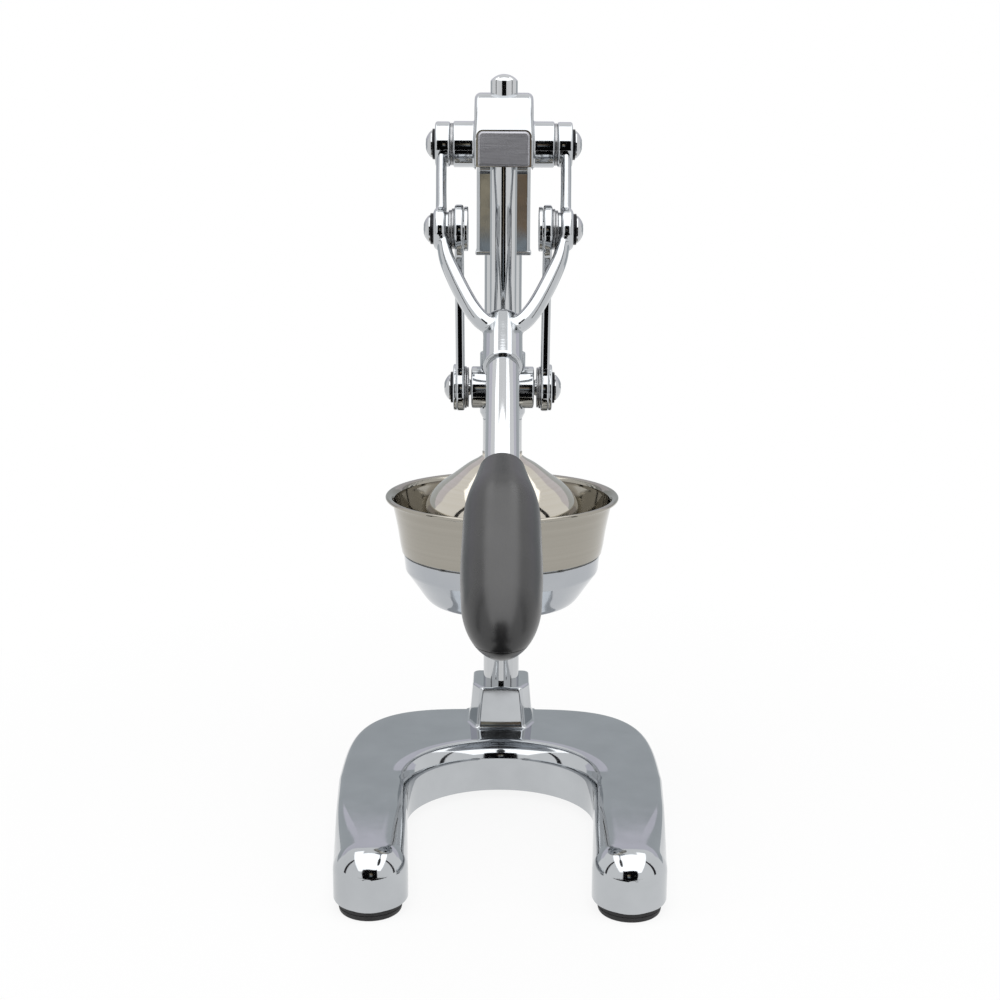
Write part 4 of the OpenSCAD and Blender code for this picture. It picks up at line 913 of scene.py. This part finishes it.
def head_ring(side, angle):
    """The side view, drawn in by each place's own rounding: all of it at 0 degrees, none at 90."""
    ring = []
    for i, place in enumerate(side_view):
        before, after = Vector(side_view[i - 1]), Vector(side_view[(i + 1) % len(side_view)])
        along = (after - before).normalized()
        edge = head_edge(*place)
        inward = Vector((-along.y, along.x)) * edge * (1 - math.sin(angle))
        ring.append(at(side * (HEAD_HALF - edge * (1 - math.cos(angle))), place[0] + inward.x,
                       place[1] + inward.y))
    return ring


ROUND_STEPS = 6
quarter = [math.pi / 2 * k / ROUND_STEPS for k in range(ROUND_STEPS + 1)]
head = swept("head_block", [head_ring(-1, a) for a in quarter]
             + [head_ring(1, a) for a in quarter[::-1]])

PLATE_HALF, PLATE_H, PLATE_T, PLATE_PROUD = 13.7, 18.2, 3.6, 1.2
POCKET_GAP, POCKET_CORNER = 0.8, 3.4
PLATE_PLACE = at(0, NOSE - PLATE_T + PLATE_PROUD, HEAD_UNDER)
x, top = PLATE_HALF + POCKET_GAP, PLATE_H + POCKET_GAP
pocket_plan = eased([(-x, -5), (x, -5), (x, top), (-x, top)], [0, 0, POCKET_CORNER, POCKET_CORNER], 8)
carved(head, settled(cut_plate("pocket", pocket_plan, 10), turn=UPRIGHT, place=PLATE_PLACE))
carved(head, on_axis(plain_round("rod_bore", ROD_R + 0.1, 0, 120), PIVOT_Z - 50))
print("head top:", round(max(v.co.z for v in head.data.vertices) / MM, 1))
print("head block:", len(head.data.polygons), "faces")

# %% [markdown]
# Round bosses stand out on both sides of the hood, turned flat at their ends. The skirt ends in a
# thin square lip round the column.

# %% Bosses and lip of the head
BOSS_D, BOSS_X = 24, 26.8
BOSS_FILLET, BOSS_BORE = 1.2, 4.6
boss_profile = ([(0, 10), (BOSS_D / 2 + BOSS_FILLET, 15.2)]
                + arc((BOSS_D / 2 + BOSS_FILLET, 16.7), BOSS_FILLET, 270, 180, 5)
                + eased([(BOSS_D / 2, 18), (BOSS_D / 2, BOSS_X), (BOSS_BORE, BOSS_X)], [0, 0.9, 0], 5)
                + [(BOSS_BORE, 12)])
head_bosses = [on_pivot(spun("head_boss", boss_profile), side, 0, PIVOT_Z) for side in (-1, 1)]

LIP_H, LIP_OUT = 2.6, 0.7
lip = block("lip", (-HEAD_HALF - LIP_OUT, HEAD_BACK - LIP_OUT, SKIRT_LOW),
            (HEAD_HALF + LIP_OUT, SKIRT_FRONT + LIP_OUT, SKIRT_LOW + LIP_H))
rounded(lip, 0.8, 3)
carved(lip, on_column(plain_round("column_bore", COLUMN_R + CLEAR, -5, 5, 96), SKIRT_LOW))
fitted(joined("head", [head, lip] + head_bosses), "head_casting")

# %% [markdown]
# ## Front plate
# A cushion-edged satin plate fills the pocket. It is cut from an outline with eased corners, then
# rounded all round, and stays bare: only its brushed face and its soft edge catch the light.

# %% Front plate
plate = cut_plate("front_cushion", eased([(-PLATE_HALF, 0.3), (PLATE_HALF, 0.3), (PLATE_HALF, PLATE_H),
                                          (-PLATE_HALF, PLATE_H)], [1.2, 1.2, 2.8, 2.8], 8), PLATE_T)
settled(plate, turn=UPRIGHT, place=PLATE_PLACE)
rounded(plate, 1.6, 6, 60)
fitted(plate, "front_plate")

# %% [markdown]
# ## Pivots
# Every pivot is a stack along one line: a chromed screw with a domed head, a dark washer under it,
# the lever's or the link's eye, and thin washers inside. All domed screws are alike, so one is
# modelled, with its hexagon key, and copied to its six places.

# %% Domed screws
DOME_R, DOME_H, DOME_RIM, SHANK_R, KEY_R, KEY_DEPTH = 7, 4.2, 1.0, 4.5, 2.9, 2.5


def domed_screw(name, seat, end):
    """A screw along Z: head above its seat, shank down to its end."""
    ball = (DOME_R ** 2 + (DOME_H - DOME_RIM) ** 2) / (2 * (DOME_H - DOME_RIM))
    start = math.degrees(math.asin((ball - DOME_H + DOME_RIM) / ball))
    profile = ([(0, end), (SHANK_R - 0.5, end), (SHANK_R, end + 0.5)]
               + eased([(SHANK_R, seat), (DOME_R, seat), (DOME_R, seat + DOME_RIM * 0.8)], [0, 0.25, 0], 3)
               + arc((0, seat + DOME_H - ball), ball, start, 90, 14))
    screw = spun(name, profile, 64)
    return carved(screw, plain_round("key", KEY_R, seat + DOME_H - KEY_DEPTH, seat + DOME_H + 2, 6))


DOME_SEAT = top_screw_high.x - DOME_H
BOTTOM_SEAT = bottom_screw_high.x - DOME_H
SCREWS = (("top", DOME_SEAT, top_screw_low.x, 0, PIVOT_Z),
          ("middle", DOME_SEAT, middle_screw_low.x, CRANK_F, CRANK_Z),
          ("bottom", BOTTOM_SEAT, bottom_screw_low.x, 0, CROSS_Z))
for where, seat, end, forward, height in SCREWS:
    for side, hand in ((-1, "left"), (1, "right")):
        screw = on_pivot(domed_screw("%s_pin_%s" % (where, hand), seat, end), side, forward, height)
        fitted(screw, "%s_screw_%s" % (where, hand))

# %% Washers, spacers and nuts
RING_STEPS = 96
PIN_GAP = 4.56
THIN = 1.0


def both_sides(name, profile, forward, height, node):
    """The same turned ring on both sides, in one piece."""
    pair = [on_pivot(spun(name, profile, RING_STEPS), side, forward, height) for side in (-1, 1)]
    fitted(joined(name, pair), node)


def ring_size(node):
    """Where a ring ends along its pivot, and its outer radius, from the frame."""
    low, high = node_box(node)
    return high.x, (high.z - low.z) / 2


thrust_out, thrust_r = ring_size("top_thrust_washers")
both_sides("thrust_rings", disc(BOSS_X, thrust_out, thrust_r, PIN_GAP, 0.3), 0, PIVOT_Z,
           "top_thrust_washers")
cap_out, cap_r = ring_size("top_cap_washers")
both_sides("top_dark_rings", disc(cap_out - 1.5, cap_out, cap_r, PIN_GAP, 0.3), 0, PIVOT_Z,
           "top_cap_washers")
cap_out, cap_r = ring_size("middle_cap_washers")
both_sides("middle_dark_rings", disc(cap_out - 1.6, cap_out, cap_r, PIN_GAP, 0.3), CRANK_F, CRANK_Z,
           "middle_cap_washers")
spacer_out, spacer_r = ring_size("middle_spacers")
both_sides("middle_rings", disc(25.5, 26.9, spacer_r, PIN_GAP, 0.35), CRANK_F, CRANK_Z, "middle_spacers")
both_sides("middle_rings_outer", disc(27.0, spacer_out, spacer_r - 0.8, PIN_GAP, 0.3), CRANK_F, CRANK_Z,
           "middle_spacers")
for side, hand in ((-1, "left"), (1, "right")):
    low, high = node_box("middle_nut_right")
    nut = spun("disc_nut_" + hand, disc(low.x, high.x, (high.z - low.z) / 2, PIN_GAP, 0.6))
    fitted(on_pivot(nut, side, CRANK_F, CRANK_Z), "middle_nut_" + hand)
    low, high = node_box("bottom_washers_right")
    radius = (high.z - low.z) / 2
    rings = [spun("ring", disc(high.x - THIN, high.x, radius, PIN_GAP, 0.3)),
             spun("ring", disc(low.x, low.x + THIN, radius - 0.5, PIN_GAP, 0.3))]
    rings = [on_pivot(ring, side, 0, CROSS_Z) for ring in rings]
    fitted(joined("bottom_rings_" + hand, rings), "bottom_washers_" + hand)
    low, high = node_box("bottom_cap_washer_right")
    ring = spun("bottom_dark_ring_" + hand, disc(low.x, high.x, (high.z - low.z) / 2, PIN_GAP, 0.3))
    fitted(on_pivot(ring, side, 0, CROSS_Z), "bottom_cap_washer_" + hand)

# %% [markdown]
# ## Lever fork
# The fork is a casting with two arms that lie in one sloping plane. Each arm hangs from its top
# eye, passes the elbow that carries a link, thickens, and curves in to the socket. A rounded
# rectangle is swept along that path. Arms, elbows and socket are then fused and smoothed, which
# gives the soft inner corners of a casting, and the turned faces are added crisp.

# %% Fork arms
FORK_IN, FORK_OUT, EYE_R, ELBOW_R, ELBOW_IN = 28.4, 36.4, 11.75, 11, 29.5
CRANK_ANGLE = math.radians(58)
ARM_POWER = 2 / 2.15
ARM_PATH = [(33, 8, 2.8, 6.5), (33, 18, 2.8, 6.5), (32.7, 35, 2.8, 6.5), (32.2, 52.2, 3.2, 6.5),
            (31.3, 58, 3.5, 6.5), (29.2, 68.8, 4.0, 6.5), (25, 79.3, 4.4, 6.5), (20, 90, 4.5, 6.5),
            (15.3, 98.4, 4.5, 6.2), (10, 104.8, 4.5, 5.6), (3, 109, 4.2, 4.2)]


def in_lever_plane(side, along, off):
    """A place in the plane of the pivots: sideways, down along the plane, and off it to the front."""
    c, s = math.cos(CRANK_ANGLE), math.sin(CRANK_ANGLE)
    return at(side, along * c + off * s, PIVOT_Z - along * s + off * c)


def squared(value):
    """Turns a circle's sine or cosine into that of a slightly squared oval."""
    return math.copysign(abs(value) ** ARM_POWER, value)


def arm(side):
    """One arm: (sideways, down the plane, half width, half depth) of the path, each a ring."""
    path = smooth_curve(ARM_PATH, 6)
    rings = []
    for i, (x, d, half, wide) in enumerate(path):
        after, before = path[min(i + 1, len(path) - 1)], path[max(i - 1, 0)]
        along = Vector((after[0] - before[0], after[1] - before[1])).normalized()
        ring = []
        for k in range(32):
            a = math.tau * k / 32
            u, v = half * squared(math.cos(a)), wide * squared(math.sin(a))
            ring.append(in_lever_plane(side * (x + along[1] * u), d - along[0] * u, v))
        rings.append(ring)
    return swept("arm", rings)


SOCKET_R, SOCKET_BACK, SOCKET_LEN, TUBE_R, TUBE_FOOT = 10, 15, 22, 8.2, -4
cast = [arm(side) for side in (-1, 1)]
cast += [on_pivot(spun("elbow", disc(ELBOW_IN, FORK_OUT, ELBOW_R, 0, 2.6), 64), side, CRANK_F, CRANK_Z)
         for side in (-1, 1)]
socket_line = eased([(0, -SOCKET_BACK), (SOCKET_R, -SOCKET_BACK), (SOCKET_R, SOCKET_LEN), (0, SOCKET_LEN)],
                    [0, 3.2, 0.9, 0], 6)
cast.append(on_lever(spun("socket", socket_line, 96)))
fork = joined("fork", cast)
modified(fork, "REMESH", mode="VOXEL", voxel_size=0.6 * MM)
modified(fork, "SMOOTH", factor=0.5, iterations=12)
carved(fork, on_lever(plain_round("tube_bore", TUBE_R + CLEAR, TUBE_FOOT, 40)))

# %% Turned faces of the fork
turned = []
for side in (-1, 1):
    turned.append(on_pivot(spun("eye", disc(FORK_IN, FORK_OUT, EYE_R, PIN_GAP, 1.2)), side, 0, PIVOT_Z))
    turned.append(on_pivot(spun("elbow_face", disc(FORK_IN, FORK_OUT, ELBOW_R - 2.2, PIN_GAP, 0.4)), side,
                           CRANK_F, CRANK_Z))
fitted(joined("fork", [fork] + turned), "lever_fork", flats=False)

# %% [markdown]
# ## Lever tube and grip
# The lever is a drawn tube, held in the fork's socket and pressed into the grip. It is one spun
# ring, finished with lines that run along it.

# %% Lever tube
GRIP_START, GRIP_LEN, GRIP_R, SEAM_SHARE = 93.5, 111.5, 18.05, 0.985
TUBE_TIP = GRIP_START + GRIP_LEN - 20
tube = on_lever(spun("lever_stem", disc(TUBE_FOOT, TUBE_TIP, TUBE_R, TUBE_R - 2, 0.4)))
fitted(tube, "lever_tube", finish="lever_chrome", flats=False)

# %% [markdown]
# The grip is one turned body with an egg-shaped end. A level cut underneath parts off the end cap,
# which closes the moulding. The cap's edge is broken, so the joint shows as a fine line.

# %% Grip and end cap
EGG_START, EGG_R = 0.73, 0.968
SEAM_OPEN, CUT_HALF, CUT_FRONT = 0.25, 40, 260
grip_shares = [(0, 0.52), (0.008, 0.58), (0.031, 0.615), (0.105, 0.737), (0.19, 0.88), (0.275, 0.957),
               (0.445, 0.99), (0.616, 1), (EGG_START, EGG_R)]
grip_line = smooth_curve([(r * GRIP_R, GRIP_START + h * GRIP_LEN) for h, r in grip_shares], 8)
egg_len = (1 - EGG_START) * GRIP_LEN
grip_line += [(EGG_R * GRIP_R * math.cos(a), GRIP_START + GRIP_LEN - egg_len + egg_len * math.sin(a))
              for a in (math.radians(4.5 * k) for k in range(2, 20))] + [(0, GRIP_START + GRIP_LEN)]
SEAM_Z = LEVER_FOOT[2] - (GRIP_START + SEAM_SHARE * GRIP_LEN) * math.sin(math.radians(LEVER_SLOPE))
solid = [(0, GRIP_START), (grip_line[0][0] - 0.6, GRIP_START)] + grip_line[1:]
grip = on_lever(spun("grip_body", solid))
carved(grip, block("below_seam", (-CUT_HALF, 150, SEAM_Z - 40), (CUT_HALF, CUT_FRONT, SEAM_Z)))
carved(grip, on_lever(plain_round("grip_bore", TUBE_R + CLEAR, GRIP_START - 5, TUBE_TIP + 0.1)))
fitted(rounded(grip, 0.35, 2, 60), "grip", flats=False)
cap = on_lever(spun("grip_cap", solid))
carved(cap, block("above_seam", (-CUT_HALF, 0, SEAM_Z - SEAM_OPEN), (CUT_HALF, CUT_FRONT, SEAM_Z + 120)))
fitted(rounded(cap, 0.35, 2, 60), "grip_end_cap", flats=False)

# %% [markdown]
# ## Links
# Each link is a flat bar with a round eye at both ends. Its outline has four fillets where the bar
# grows into the eyes. The lower eye is thicker than the bar.

# %% Links
LINK_LEN = math.hypot(CRANK_F, CRANK_Z - CROSS_Z)
LINK_LEAN = math.asin(CRANK_F / LINK_LEN)
LINK_IN, LINK_T, LINK_HALF, LINK_FILLET, LINK_EYE_OUT = 20.8, 4.9, 6.5, 9, 27
LINK_TOP_R, LINK_LOW_R = 12.5, 13


def link_outline():
    """Right-hand side of the outline, from the lower eye's foot to the upper eye's top, mirrored."""
    def flank(radius):
        reach = math.sqrt((radius + LINK_FILLET) ** 2 - (LINK_HALF + LINK_FILLET) ** 2)
        return reach, math.degrees(math.atan2(reach, LINK_HALF + LINK_FILLET))
    low_reach, low_angle = flank(LINK_LOW_R)
    top_reach, top_angle = flank(LINK_TOP_R)
    x = LINK_HALF + LINK_FILLET
    right = (arc((0, 0), LINK_LOW_R, -90, low_angle, 24)
             + arc((x, low_reach), LINK_FILLET, low_angle + 180, 180, 8)
             + arc((x, LINK_LEN - top_reach), LINK_FILLET, 180, 180 - top_angle, 8)
             + arc((0, LINK_LEN), LINK_TOP_R, -top_angle, 90, 24))
    return right + [(-px, py) for px, py in reversed(right[1:-1])]


def add_link(side, hand):
    """A link: its bar, and the thicker boss of its lower eye."""
    bar = cut_plate("link_bar", link_outline(), LINK_T - 0.3)
    rounded(bar, 1.3, 4, 50)
    settled(bar, turn=(0, 0, LINK_LEAN))
    settled(bar, turn=ON_SIDE, place=at(min(side * LINK_IN, side * (LINK_IN + LINK_T - 0.3)), 0, CROSS_Z))
    boss = spun("link_boss", disc(LINK_IN + LINK_T - 0.8, LINK_EYE_OUT, LINK_LOW_R - 0.3, PIN_GAP, 0.8))
    on_pivot(boss, side, 0, CROSS_Z)
    fitted(joined("side_link_" + hand, [bar, boss]), "link_" + hand)


add_link(-1, "left")
add_link(1, "right")

# %% [markdown]
# ## Crosshead and stem
# The collar grips the rod and carries the links' lower pivots on two bosses. Below it a plain
# stem runs down to the bell's neck.

# %% Crosshead and stem
cross_low, cross_high = node_box("crosshead")
COLLAR_R, CROSS_BOSS_R, CROSS_BOSS_X = 12.4, 11.5, 17.1
ROD_BORE = ROD_R + CLEAR
collar_profile = eased([(ROD_BORE, cross_low.z), (COLLAR_R - 1.6, cross_low.z),
                        (COLLAR_R, cross_low.z + 3.2), (COLLAR_R, cross_high.z), (ROD_BORE, cross_high.z)],
                       [0, 0.6, 0.8, 0.8, 0], 4)
collar = on_axis(spun("collar", collar_profile + collar_profile[:1]))
boss_profile = ([(0, 8), (CROSS_BOSS_R, 8)]
                + eased([(CROSS_BOSS_R, 14), (CROSS_BOSS_R, CROSS_BOSS_X), (0, CROSS_BOSS_X)],
                        [0, 0.9, 0], 4))
cross_bosses = [on_pivot(spun("cross_boss", boss_profile, RING_STEPS), side, 0, CROSS_Z)
                for side in (-1, 1)]
fitted(joined("crosshead_body", [collar] + cross_bosses), "crosshead")

stem_low, stem_high = node_box("bell_stem")
STEM_R = (stem_high.x - stem_low.x) / 2
fitted(on_axis(spun("stem", disc(stem_low.z, stem_high.z, STEM_R, ROD_BORE, 0.5))), "bell_stem")

# %% [markdown]
# ## Bell
# The bell is spun from stainless sheet: a neck, a long flare that is almost a cone, a round
# shoulder and an almost straight skirt. It is drawn as one smooth line and given its thickness
# inside.

# %% Bell
bell_low, bell_high = node_box("press_bell")
BELL_R, BELL_H, BELL_T, NECK_R = bell_high.x, bell_high.z - bell_low.z, 1.6, 11.1
bell_shares = [(0, 0.955), (0.089, 0.918), (0.257, 0.86), (0.517, 0.745), (0.719, 0.658), (0.872, 0.56),
               (0.963, 0.451), (0.991, 0.303), (1, 0.12), (1, 0.0)]
bell_line = smooth_curve([(NECK_R + r * (BELL_R - NECK_R), bell_low.z + h * BELL_H)
                          for r, h in bell_shares], 8)
bell_inner = []
for i, (r, h) in enumerate(bell_line):
    before, after = bell_line[max(i - 1, 0)], bell_line[min(i + 1, len(bell_line) - 1)]
    along = Vector((after[0] - before[0], after[1] - before[1])).normalized()
    if r > NECK_R * 2:
        bell_inner.append((r + along[1] * BELL_T, h - along[0] * BELL_T))
bell_inner[-1] = (bell_inner[-1][0], bell_low.z)
neck_foot = bell_line[0][1] - 6
bell_profile = (eased([(ROD_BORE, bell_high.z), (NECK_R, bell_high.z), bell_line[0]], [0, 0.5, 0], 3)[:-1]
                + bell_line + bell_inner[::-1] + [(NECK_R + BELL_T, neck_foot), (ROD_BORE, neck_foot)])
bell = on_axis(spun("bell", bell_profile + bell_profile[:1], 160))
fitted(bell, "press_bell", finish="bell_steel", flats=False)

# %% [markdown]
# ## Strainer
# The strainer is spun sheet too, with a rolled rim that is a full round bead. It stands on the
# bowl's edge by a shoulder, and its floor is slotted.

# %% Strainer
strainer_low, strainer_high = node_box("strainer_bowl")
RIM_R, BEAD, SHEET = strainer_high.x, 1.1, 1.0
RIM_Z = strainer_high.z - BEAD
BOWL_Z = strainer_low.z + 6
FOOT_R, CUP_R, CUP_CORNER, FLOOR_HOLE_R = 56.2, 50.8, 2.4, 5.05
BOWL_STEPS = 192
WALL_R = RIM_R - 2 * BEAD - 1.5
FLOOR_Z = strainer_low.z
wall_line = smooth_curve([(WALL_R + (FOOT_R - WALL_R) * a, BOWL_Z + (RIM_Z - BOWL_Z) * b)
                          for a, b in ((0, 0.93), (0.56, 0.47), (0.85, 0.15), (1, 0.03))], 8)
bead_turn = arc((RIM_R - BEAD, RIM_Z), BEAD, 128, -150, 16)
lip_out = smooth_curve([bead_turn[-1], (RIM_R - 2.6, RIM_Z - 0.9), (WALL_R + 0.35, RIM_Z - 1.7),
                        wall_line[0]], 3)
wall_in = [(r - SHEET, h) for r, h in wall_line]
lip_in = smooth_curve([(WALL_R - SHEET + 0.05, RIM_Z - 1.3), (WALL_R + 0.2, RIM_Z + 0.1),
                       (RIM_R - 2.6, RIM_Z + 0.75), bead_turn[0]], 3)
strainer_profile = (bead_turn + lip_out[1:-1] + wall_line[:-1]
                    + eased([wall_line[-1], (FOOT_R - 0.1, BOWL_Z), (CUP_R, BOWL_Z), (CUP_R, FLOOR_Z),
                             (FLOOR_HOLE_R, FLOOR_Z), (FLOOR_HOLE_R, FLOOR_Z + SHEET),
                             (CUP_R - SHEET, FLOOR_Z + SHEET),
                             (CUP_R - SHEET, BOWL_Z + SHEET), (FOOT_R - 1.2 * SHEET, BOWL_Z + SHEET),
                             wall_in[-2]],
                            [0, 0.3, 0.1, CUP_CORNER, 0, 0, CUP_CORNER - SHEET, 0.4, 0.4, 0], 4)
                    + wall_in[-3::-1] + lip_in[:-1])
strainer = on_axis(spun("strainer", strainer_profile + strainer_profile[:1], BOWL_STEPS))
SLOTS, SLOT_W, SLOT_IN, SLOT_OUT = 24, 2.2, 37.5, 47.5
slot_plan = eased([(SLOT_IN, -SLOT_W / 2), (SLOT_OUT, -SLOT_W / 2), (SLOT_OUT, SLOT_W / 2),
                   (SLOT_IN, SLOT_W / 2)], SLOT_W / 2 - 0.01, 4)
slot_cutters = [settled(cut_plate("slot", slot_plan, 4), turn=(0, 0, math.tau * i / SLOTS),
                        place=at(0, 0, FLOOR_Z - 1)) for i in range(SLOTS)]
carved(strainer, joined("slots", slot_cutters))
fitted(strainer, "strainer_bowl", flats=False)

# %% [markdown]
# ## Reamer
# The cone that the half orange is pressed on stands in the strainer on a peg. Its ribs are sharp
# ridges between hollow flutes, so it is swept upwards from rings that ripple with the height.

# %% Reamer
REAMER_R, REAMER_H, RIBS, RIB_OUT, PEG_R = 34, 40, 10, 2.2, 4.95
REAMER_Z = FLOOR_Z + SHEET
reamer_shares = [(1, 0), (0.985, 0.06), (0.9, 0.24), (0.72, 0.52), (0.48, 0.78), (0.24, 0.94), (0.1, 0.99)]
reamer_line = smooth_curve([(r * REAMER_R, h * REAMER_H) for r, h in reamer_shares], 5)
AROUND = RIBS * 16


def reamer_ring(radius, height):
    """A ring whose ribs swell with height."""
    ring = []
    for k in range(AROUND):
        a = math.tau * k / AROUND
        ridge = (0.5 + 0.5 * math.cos(RIBS * a)) ** 4
        r = radius + RIB_OUT * (ridge - 0.15) * min(1, height / REAMER_H * 1.4)
        ring.append(at(r * math.cos(a), r * math.sin(a), REAMER_Z + height))
    return ring


reamer = swept("reamer", [reamer_ring(r, h) for r, h in reamer_line])
peg = on_axis(plain_round("reamer_peg", PEG_R, FLOOR_Z, REAMER_Z + 2, 48))
fitted(joined("reamer_body", [reamer, peg]), "reamer_cone", flats=False)

# %% [markdown]
# ## Bowl
# The bowl is a chromed casting with a shadow groove under the strainer's foot, a straight band, a
# soft crease and a cone down to the spout. A bracket joins it to a sleeve that grips the column.

# %% Bowl
BOWL_R, BOWL_WALL, BAND_H, GROOVE_H, GROOVE_DEEP = 55.1, 3.5, 9.8, 1.2, 1.8
CONE_H, CONE_FOOT_R, SPOUT_R, SPOUT_Z = 17, 42.5, 12, 112
BAND_Z = BOWL_Z - BAND_H
CONE_Z = BAND_Z - CONE_H
SPOUT_TOP = CONE_Z - 8
outside = (eased([(BOWL_R - BOWL_WALL, BOWL_Z), (BOWL_R - GROOVE_DEEP, BOWL_Z),
                  (BOWL_R - GROOVE_DEEP, BOWL_Z - GROOVE_H), (BOWL_R, BOWL_Z - GROOVE_H),
                  (BOWL_R - 0.9, BAND_Z)],
                 [0, 0.2, 0.2, 0.4, 0], 4)
           + [(BOWL_R - 1.3, BAND_Z - 0.7)]
           + smooth_curve([(BOWL_R - 1.4, BAND_Z - 1.2),
                           ((BOWL_R - 0.9 + CONE_FOOT_R) / 2 + 0.2, (BAND_Z + CONE_Z) / 2),
                           (CONE_FOOT_R, CONE_Z), (CONE_FOOT_R - 4.5, CONE_Z - 2.7), (30, CONE_Z - 4.2),
                           (SPOUT_R + 5, SPOUT_TOP + 2), (SPOUT_R + 0.6, SPOUT_TOP - 1.2),
                           (SPOUT_R, SPOUT_TOP - 4)], 7)
           + eased([(SPOUT_R, SPOUT_TOP - 4), (SPOUT_R, SPOUT_Z), (SPOUT_R - 2.5, SPOUT_Z),
                    (SPOUT_R - 2.5, SPOUT_TOP)], [0, 0.6, 0.4, 0], 3)[1:])
inside = smooth_curve([
    (SPOUT_R - 1.2, SPOUT_TOP + 3.4), (SPOUT_R + 4, SPOUT_TOP + 6), (CONE_FOOT_R - 7, CONE_Z + 0.6),
    (CONE_FOOT_R - 2.8, CONE_Z + 2.1), (BOWL_R - BOWL_WALL - 0.3, BAND_Z + 1)], 6)
inside.append((BOWL_R - BOWL_WALL, BAND_Z + 2.1))
bowl_profile = outside[1:] + inside + [outside[0], outside[1]]
bowl = on_axis(spun("bowl", bowl_profile, BOWL_STEPS))

SLEEVE_LOW, SLEEVE_H, SLEEVE_R, BRACKET_HALF = BOWL_Z - 33, 36, COLUMN_R + 5, 11
sleeve = spun("sleeve", disc(SLEEVE_LOW, SLEEVE_LOW + SLEEVE_H, SLEEVE_R, COLUMN_R + CLEAR, 1.2))
on_column(sleeve)
bracket = block("bracket", (-BRACKET_HALF, COLUMN_F + COLUMN_R + 2, BOWL_Z - 31),
                (BRACKET_HALF, -41, BOWL_Z - 3))
rounded(bracket, 2.5, 5)
fitted(joined("bowl_body", [bowl, sleeve, bracket]), "bowl_casting")

# %% [markdown]
# ## What stays as it is
# Set screws, the guide bush, the bolt and the other hidden pieces keep their CAD shape and only
# get their finish.

# %% Finishes of the carried-over nodes
for node, piece in frame["nodes"].items():
    if not piece.hide_render:
        piece.data.materials.clear()
        piece.data.materials.append(FINISH[SLOT_OF[node]])
        print("  kept", node)

# %% Sizes
low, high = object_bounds()
print("seen", [round(c / MM, 1) for c in (*low, *high)])
